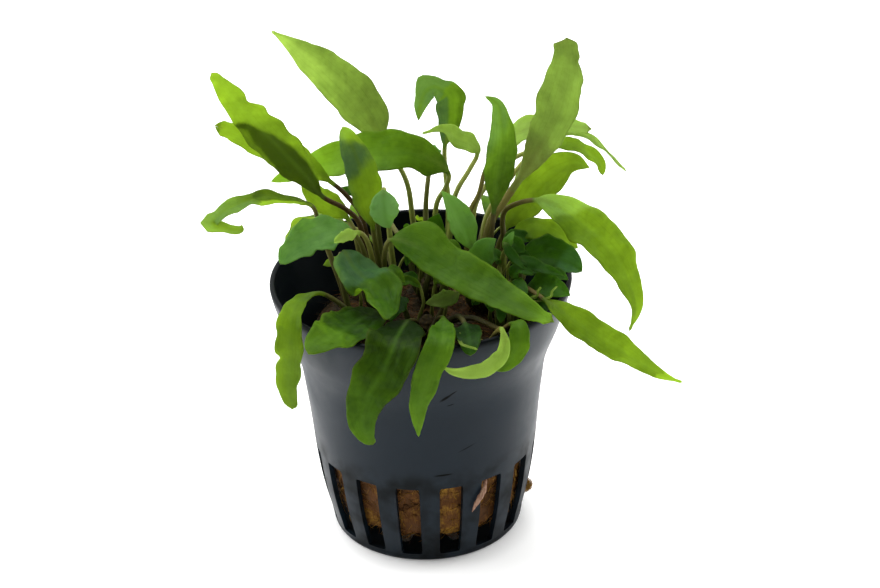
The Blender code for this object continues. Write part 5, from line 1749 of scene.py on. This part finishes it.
SHOOTS: dict[Tone, tuple[Shoot, ...]] = {
    Tone.BRIGHT: (
        Shoot(
            "front_left", 120, 2.2, ((-11, -2, 48), (-13.5, 0.5, 52), (-15.5, 1.5, 52.5), (-17.5, 2, 51.5)),
        ),
        Shoot(
            "left", 100, 2.4, ((-7.6, 8.6, 48), (-8.6, 11.6, 51), (-10.4, 14.4, 51.2), (-12, 16.4, 49.8)),
            0.0, (0, 0.5, 0.85),
        ),
    ),
    Tone.MATURE: (
        Shoot("right", 250, 2.6, ((10.8, 0, 50), (10, -4, 52), (9.5, -7, 51.5), (9.3, -10, 49.5))),
        Shoot("front", 20, 2.2, ((4.8, -6, 47.5), (7.5, -7, 50), (10, -8, 50.5), (12.8, -9.5, 49.5))),
        Shoot("left", 275, 2.0, ((-6.5, -0.5, 50), (-5.8, -3, 53), (-4.5, -5, 53.6), (-2.8, -6.8, 52))),
        Shoot("back", 290, 2.2, ((2.8, 4.5, 49), (4.5, 2.5, 53.5), (6, 1.5, 55), (7.5, 0.5, 54))),
        Shoot("front_left", 20, 2.0, ((-6.5, -4.2, 47), (-4, -3.6, 50), (-2, -3.6, 50.6), (0, -4, 49.6))),
        Shoot("front", 75, 2.4, ((2, -4, 47), (2.6, -3.4, 50), (3.8, -3.6, 51), (5.6, -4.4, 50.2))),
        Shoot(
            "rear", 95, 2.6, ((8.6, 18, 48), (8, 20.5, 50.4), (7.4, 23, 50.4), (7, 25, 49)), 0.0,
            (0, 0.5, 0.85),
        ),
        Shoot(
            "rear", 215, 2.2, ((6.4, 12.8, 48), (4, 13, 51.4), (1.6, 14, 52), (-0.6, 15, 50.6)), 0.0,
            (0, 0.4, 0.9),
        ),
    ),
    Tone.SKY_SHEEN: (
        Shoot(
            "right", 340, 2.0, ((14.6, 1, 50), (15.2, -1.5, 55), (15.8, -2.6, 57.6), (16.8, -2.6, 59.6)), 0.1,
        ),
    ),
    Tone.DEEP: (
        Shoot("right", 285, 1.9, ((15, -1, 54), (15, -3.5, 57.8), (16.3, -5.5, 56.4), (18.5, -7.6, 54.4))),
        Shoot(
            "far_right", 75, 2.4,
            ((15.6, -3, 52), (16.6, -5, 55.2), (19, -6.5, 55.6), (22, -8, 54.6), (25.3, -9.2, 53.9)),
        ),
        Shoot("left", 310, 2.2, ((-4, 2, 50), (-2.5, 0, 54), (-0.5, -1.5, 55.5), (1.2, -2.8, 54)), 0.15),
        Shoot("back", 225, 2.0, ((0, 4.5, 49), (-1.2, 2, 53), (-1.8, 0.5, 54), (-2.5, -1, 52.5)), 0.1),
        Shoot("right", 190, 2.2, ((8.2, 3, 49), (6, 2, 52.5), (4.5, 1, 53), (3, -0.5, 51.5)), 0.1),
        Shoot("far_right", 200, 2.4, ((12.5, -6, 48), (11, -8, 49.8), (9, -10, 49))),
        Shoot("far_right", 260, 2.6, ((14.7, -7.5, 48), (14.5, -11, 50), (14.2, -14, 50.2), (13.8, -17, 49))),
        Shoot(
            "right", 300, 3.4, ((14, -0.5, 51), (15.2, -1.5, 55.5), (16.8, -2, 56.6), (18.6, -2.8, 55.4)),
            0.1,
        ),
        Shoot("right", 320, 3.2, ((14.6, 0.5, 49), (16.2, 0, 52), (18, -0.8, 53.5), (20, -1.6, 53.2))),
        Shoot(
            "far_right", 100, 3.0, ((14.4, -1.4, 49), (14.2, -0.6, 52.5), (13.4, -1.4, 54), (12.6, -3, 53.6)),
            0.15,
        ),
        Shoot(
            "far_right", 240, 3.0, ((13.2, -7, 48), (12.4, -9.4, 50.6), (12.2, -12, 51), (12.4, -14.6, 50)),
            0.1,
        ),
        Shoot("far_right", 310, 3.0, ((17, -7.6, 47.5), (19, -10, 49), (21, -12.4, 49.6), (22.4, -14.4, 49))),
        Shoot(
            "far_right", 350, 3.2, ((18.2, -5.4, 47), (20.6, -5.4, 48.6), (22.8, -6, 50), (24.2, -6.8, 50.4)),
        ),
        Shoot("far_right", 15, 3.0, ((15.6, -5.5, 48), (16.2, -6.2, 52), (17.6, -7, 54.4), (20, -8.4, 53.8))),
        Shoot(
            "far_right", 280, 3.0,
            ((15.8, -6, 47.5), (16.4, -7.5, 50.5), (17, -9, 52.3), (18.8, -11.6, 51.8)), 0.1,
        ),
        Shoot("right", 10, 3.2, ((15, 0.5, 50), (15.6, 1.6, 54), (17.2, 2.2, 56), (20.4, 2.4, 55.4))),
        Shoot(
            "far_right", 340, 2.8, ((18.6, -5, 47), (21.5, -5, 51), (24, -5.6, 52.4), (26.2, -6.8, 51.8)),
            0.1,
        ),
        Shoot("front", 120, 2.4, ((0.4, -4.6, 47), (-0.6, -3, 50.4), (-2.2, -2.6, 51), (-4, -2.8, 50)), 0.1),
        Shoot(
            "rear", 0, 2.4, ((12, 14.5, 48), (15, 15.5, 51.5), (17.5, 16, 52), (20, 16, 50.6)), 0.1,
            (0, 0.5, 0.85),
        ),
        Shoot(
            "back", 100, 2.4, ((1, 11.4, 48), (0, 14.5, 51), (-1.4, 17.5, 51.2), (-3, 20, 49.6)), 0.1,
            (0, 0.5, 0.85),
        ),
    ),
    Tone.RUDDY: (
        Shoot(
            "front", 300, 1.0, (
                (2.8, -10.6, 46), (5, -16, 48.2), (6.2, -22.6, 50.2), (6.7, -27.2, 51), (7.5, -28.2, 51),
                (8.6, -28.6, 50.8), (9.5, -28.2, 50.2),
            ), -0.1,
        ),
        Shoot(
            "far_right", 290, 0.6,
            ((16.6, -8.4, 48), (18.6, -11.4, 50.6), (20.2, -12.8, 52), (20.5, -13.2, 53.2), (21, -13.4, 54)),
            -0.15,
        ),
        Shoot(
            "far_right", 305, 0.6,
            ((17.4, -8, 48), (20.4, -11.6, 50.2), (22.6, -13.8, 52), (23.1, -14.4, 53.6), (23.8, -15, 54.9)),
            -0.15,
        ),
    ),
}


@dataclass
class YoungGrowth:
    """The small leaves that crowd the middle of the plants, all those of one tone joined into one mesh."""

    tone: Tone
    shoots: tuple[Shoot, ...]

    def build(self, material: Material) -> Object:
        """Makes the small leaves.

        Args:
            material: Their finish.

        Returns:
            All of them, as one piece.
        """
        points, faces, marks, count = [], [], [], 0
        for i, shoot in enumerate(self.shoots):
            leaf = Leaf(
                shoot.crown, shoot.bearing, 1, shoot.width, shoot.face, shoot.route, self.tone, foot=0.8,
                sharp=0.7, cup=14.0, tone_shift=shoot.tone_shift, wave=0.15, ripples=2.0, blunt=0.2, stem=0.7,
            )
            maker = LeafMaker(
                "", leaf, 60 + i, columns=13, stalk_foot=0.36, stalk_top=0.24, sheath=0.6, thickness=0.09,
                rib_height=0.16, rib_width=0.25, stalk_shade_reach=8.0,
            )
            here, quads, values = maker.mesh()
            points.append(here)
            faces += [[corner + count for corner in face] for face in quads]
            marks.append(values)
            count += len(here)
        joined = {label: np.concatenate([values[label] for values in marks]) for label in marks[0]}
        name = f"{self.tone.name.lower()}_young_growth"
        return new_object(name, np.vstack(points), faces, material, joined)


@dataclass
class Crown:
    """A short rootstock standing in the wool: ringed with old leaf scars, with dry sheaths round it."""

    name: str
    place: Pair
    seed: int
    columns: int = 40
    rows: int = 34
    outline: tuple[Pair, ...] = (
        (1.9, -1.2), (1.95, 0.0), (2.15, 1.0), (2.0, 2.2), (1.55, 3.2), (0.95, 3.9), (0.25, 4.25)
    )
    sheaths: int = 5

    def build(self, material: Material) -> Object:
        """Makes the rootstock with its sheaths, as one mesh.

        Args:
            material: Its finish.

        Returns:
            The rootstock.
        """
        outline = np.array(self.outline)
        share = np.linspace(0, 1, self.rows)
        place = np.linspace(0, 1, len(outline))
        radius, height = (np.interp(share, place, outline[:, i]) for i in (0, 1))
        radius = radius * (1 + 0.07 * np.sin(share * 38))
        points = polar(radius[:, None], circle(self.columns), height[:, None])
        rough = drift(points, 1.1, self.seed + 0.3)[..., None]
        points = points + unit(points * (1, 1, 0.2)) * rough * 0.22
        points[..., 2] = np.maximum(points[..., 2], -1.3)
        blocks, faces = [points.reshape(-1, 3)], tube_faces(self.rows, self.columns)
        count = self.rows * self.columns
        rng = np.random.default_rng(40 + self.seed)
        for i in range(self.sheaths):
            sheath, quads = self.sheath(2 * np.pi * (i + rng.random() * 0.6) / self.sheaths, rng)
            faces += (quads + count).tolist()
            blocks.append(sheath)
            count += len(sheath)
        flat = np.vstack(blocks) + np.array([*self.place, CROWN_FOOT])
        return new_object(self.name, flat, faces, material)

    @staticmethod
    def sheath(bearing: float, rng: np.random.Generator) -> tuple[Array, Array]:
        """Makes one pointed sheath that clasps the rootstock.

        Args:
            bearing: The direction that it stands in.
            rng: The source of its size and lean.

        Returns:
            Its points and its faces.
        """
        rows, columns = 12, 9
        tall = rng.uniform(2.6, 4.6)
        wide = rng.uniform(0.5, 0.8)
        lean = rng.uniform(0.1, 0.5)
        t = np.linspace(0, 1, rows)[:, None]
        s = np.linspace(-1, 1, columns)[None, :]
        skins = []
        for skin in (0.12, 0.0):
            reach = 2.1 + skin * np.sqrt(np.clip(1 - s**6, 0, 1)) * (1 - 0.8 * t) + lean * t**2 * 1.8
            angle = bearing + s * wide * (1 - t**2.2) ** 0.8
            skins.append(polar(reach, angle, -0.4 + tall * t))
        ring = np.concatenate([skins[0], skins[1][:, ::-1]], 1)
        size = ring.shape[1]
        points = ring.reshape(-1, 3)
        faces = lattice_faces(rows, size)
        caps = []
        for row, flip in ((0, 1), (rows - 1, -1)):
            for j in range(columns - 1):
                quad = [
                    row * size + j, row * size + j + 1, row * size + size - 2 - j, row * size + size - 1 - j
                ]
                caps.append(quad[::flip])
        return points, np.vstack([faces, np.array(caps)])


@dataclass
class SlotRoot:
    """The pale root that shows in a slot of the pot."""

    route: tuple[Place, ...] = (
        (10.7, -16.5, 16.7), (10.3, -18.0, 15.3), (9.5, -18.45, 13.9), (8.65, -18.55, 12.3),
        (8.1, -18.5, 11.0),
    )
    radius: float = 0.55
    sides: int = 14

    def build(self, material: Material) -> Object:
        """Makes the root.

        Args:
            material: Its finish.

        Returns:
            The root.
        """
        samples, _ = smooth_route(list(self.route), per_span=14)
        share = np.linspace(0, 1, len(samples))
        along = unit(np.gradient(samples, axis=0))
        side = unit(np.cross(along, np.array([0.4, -1.0, 0.2])))
        normal = np.cross(side, along)
        swell = 1 + 0.08 * np.sin(share * 31)
        radius = self.radius * np.sin(np.pi * np.clip(share * 0.8 + 0.18, 0, 0.985)) * swell
        turn = circle(self.sides)
        ring = (
            samples[:, None]
            + side[:, None] * (radius[:, None] * np.cos(turn))[..., None]
            + normal[:, None] * (0.6 * radius[:, None] * np.sin(turn))[..., None]
        )
        return new_object("slot_root", ring.reshape(-1, 3), tube_faces(len(samples), self.sides), material)


# The studio


@dataclass
class Studio:
    """A white table top under soft light, and the camera."""

    focal_px: float = 2500.0
    image_px: float = 880.0
    sensor_mm: float = 36.0
    elevation: float = math.radians(28.2)
    roll: float = math.radians(1.6)
    distance: float = 452.0
    aim: Place = (3.4, 0.0, 46.0)
    table_glow: float = 0.4

    def camera(self) -> None:
        """Places the camera where the photograph was taken from."""
        rise = Vector((0, math.sin(self.elevation), math.cos(self.elevation)))
        across = Vector((1, 0, 0))
        right = across * math.cos(self.roll) - rise * math.sin(self.roll)
        up = across * math.sin(self.roll) + rise * math.cos(self.roll)
        back = Vector((0, -math.cos(self.elevation), math.sin(self.elevation)))
        place = (Vector(self.aim) + back * self.distance) * MM
        data = bpy.data.cameras.new("camera")
        data.sensor_width = self.sensor_mm
        data.lens = self.focal_px / self.image_px * self.sensor_mm
        data.clip_start, data.clip_end = 0.01, 20.0
        camera = bpy.data.objects.new("camera", data)
        bpy.context.scene.collection.objects.link(camera)
        axes = Matrix((right, up, back)).transposed().to_4x4()
        camera.matrix_world = Matrix.Translation(place) @ axes
        bpy.context.scene.camera = camera

    def table(self) -> None:
        """Lays the pale table top, which glows a little as a light table does."""
        material, add = new_material("white_table_top")
        place = add("TexCoord", out="Object")
        grain = add("TexNoise", {"Vector": place, "Scale": per_metre(2.0), "Detail": 2.0})
        colour = add("ValToRGB", {"Fac": grain}, stops={0.3: "#f6f6f6", 0.7: "#f8f8f8"})
        # No light comes up where the pot stands on the table.
        out = add("VectorMath", {0: place}, operation="LENGTH", out="Value")
        glow = add(
            "MapRange", {"Value": out, "From Min": 15 * MM, "From Max": 22 * MM, "To Max": self.table_glow}
        )
        shader = add(
            "BsdfPrincipled",
            {"Base Color": colour, "Roughness": 0.7, "Emission Color": colour, "Emission Strength": glow},
        )
        add("OutputMaterial", {"Surface": shader})
        rows, columns = 24, 96
        radius = 3000.0 * np.linspace(0.02, 1, rows) ** 1.5
        points = polar(radius[:, None], circle(columns), 0.0).reshape(-1, 3)
        faces = lattice_faces(rows, columns).tolist() + [list(range(columns))[::-1]]
        floor = new_object("table_top", points, faces, material)
        if floor.data.polygons[0].normal.z < 0:
            floor.data.flip_normals()

    def lights(self) -> None:
        """Sets up the soft lamps and the bright surroundings."""
        lamps = (
            ("overhead", (-0.15, 0.3, 0.9), 0.8, 9.0), ("left_softbox", (-0.75, 0.15, 0.35), 0.5, 4.0),
            ("right_softbox", (0.8, 0.3, 0.35), 0.5, 3.4),
        )
        for name, place, size, power in lamps:
            data = bpy.data.lights.new(name, "AREA")
            data.shape = "SQUARE"
            data.size = size
            data.energy = power
            lamp = bpy.data.objects.new(name, data)
            bpy.context.scene.collection.objects.link(lamp)
            lamp.location = place
            lamp.rotation_euler = (Vector((0, 0, 0.05)) - Vector(place)).to_track_quat("-Z", "Y").to_euler()
        world = bpy.data.worlds.new("white_surroundings")
        bpy.context.scene.world = world
        world.use_nodes = True
        world.node_tree.nodes.clear()
        add = partial(add_node, world.node_tree)
        way = add("TexCoord")
        side = add("SeparateXYZ", {"Vector": way}, out="Y")
        # The room is darker on the camera's side.
        bright = add(
            "MapRange", {"Value": side, "From Min": -0.7, "From Max": 0.4, "To Min": 0.25, "To Max": 1.3},
            interpolation_type="SMOOTHSTEP",
        )
        light = add("Background", {"Color": (1.0, 1.0, 1.0, 1.0), "Strength": bright})
        add("OutputWorld", {"Surface": light})
        bpy.context.scene.view_settings.view_transform = "Standard"

    def build(self) -> None:
        """Sets up camera, table and lights."""
        self.camera()
        self.table()
        self.lights()


def main() -> None:
    """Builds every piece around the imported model."""
    logging.basicConfig(level=logging.INFO, format="%(name)s: %(message)s")
    Studio().build()

    pot = Pot()
    settle(pot.build(MouldedPolypropylene().material()), "pot_plastic", "pot")

    wool, fibres = WoolPlug(pot).build(MineralWool().material())
    settle(wool, "rock_wool", "rock_wool")
    settle(fibres, "rock_wool")

    rootstock = PlantSkin("rootstock_skin", "#171206", "#3c3014", 0.75).material()
    for i, (name, place) in enumerate(CROWNS.items()):
        settle(Crown(f"{name}_rootstock", place, i).build(rootstock), "crown_skin", f"crown_{name}")

    tissues = {tone: tone.value.material() for tone in Tone}
    for i, (name, leaf) in enumerate(LEAVES.items()):
        settle(LeafMaker(f"{name}_leaf", leaf, i).build(tissues[leaf.tone]), "leaf_skin", f"leaf_{name}")
    for tone, shoots in SHOOTS.items():
        settle(YoungGrowth(tone, shoots).build(tissues[tone]), "leaf_skin")

    root_skin = PlantSkin("pale_root_skin", "#6e4c3a", "#a6846e", 0.55, 0.3).material()
    settle(SlotRoot().build(root_skin), "root_skin", "root_in_slot")


if __name__ == "__main__":
    main()
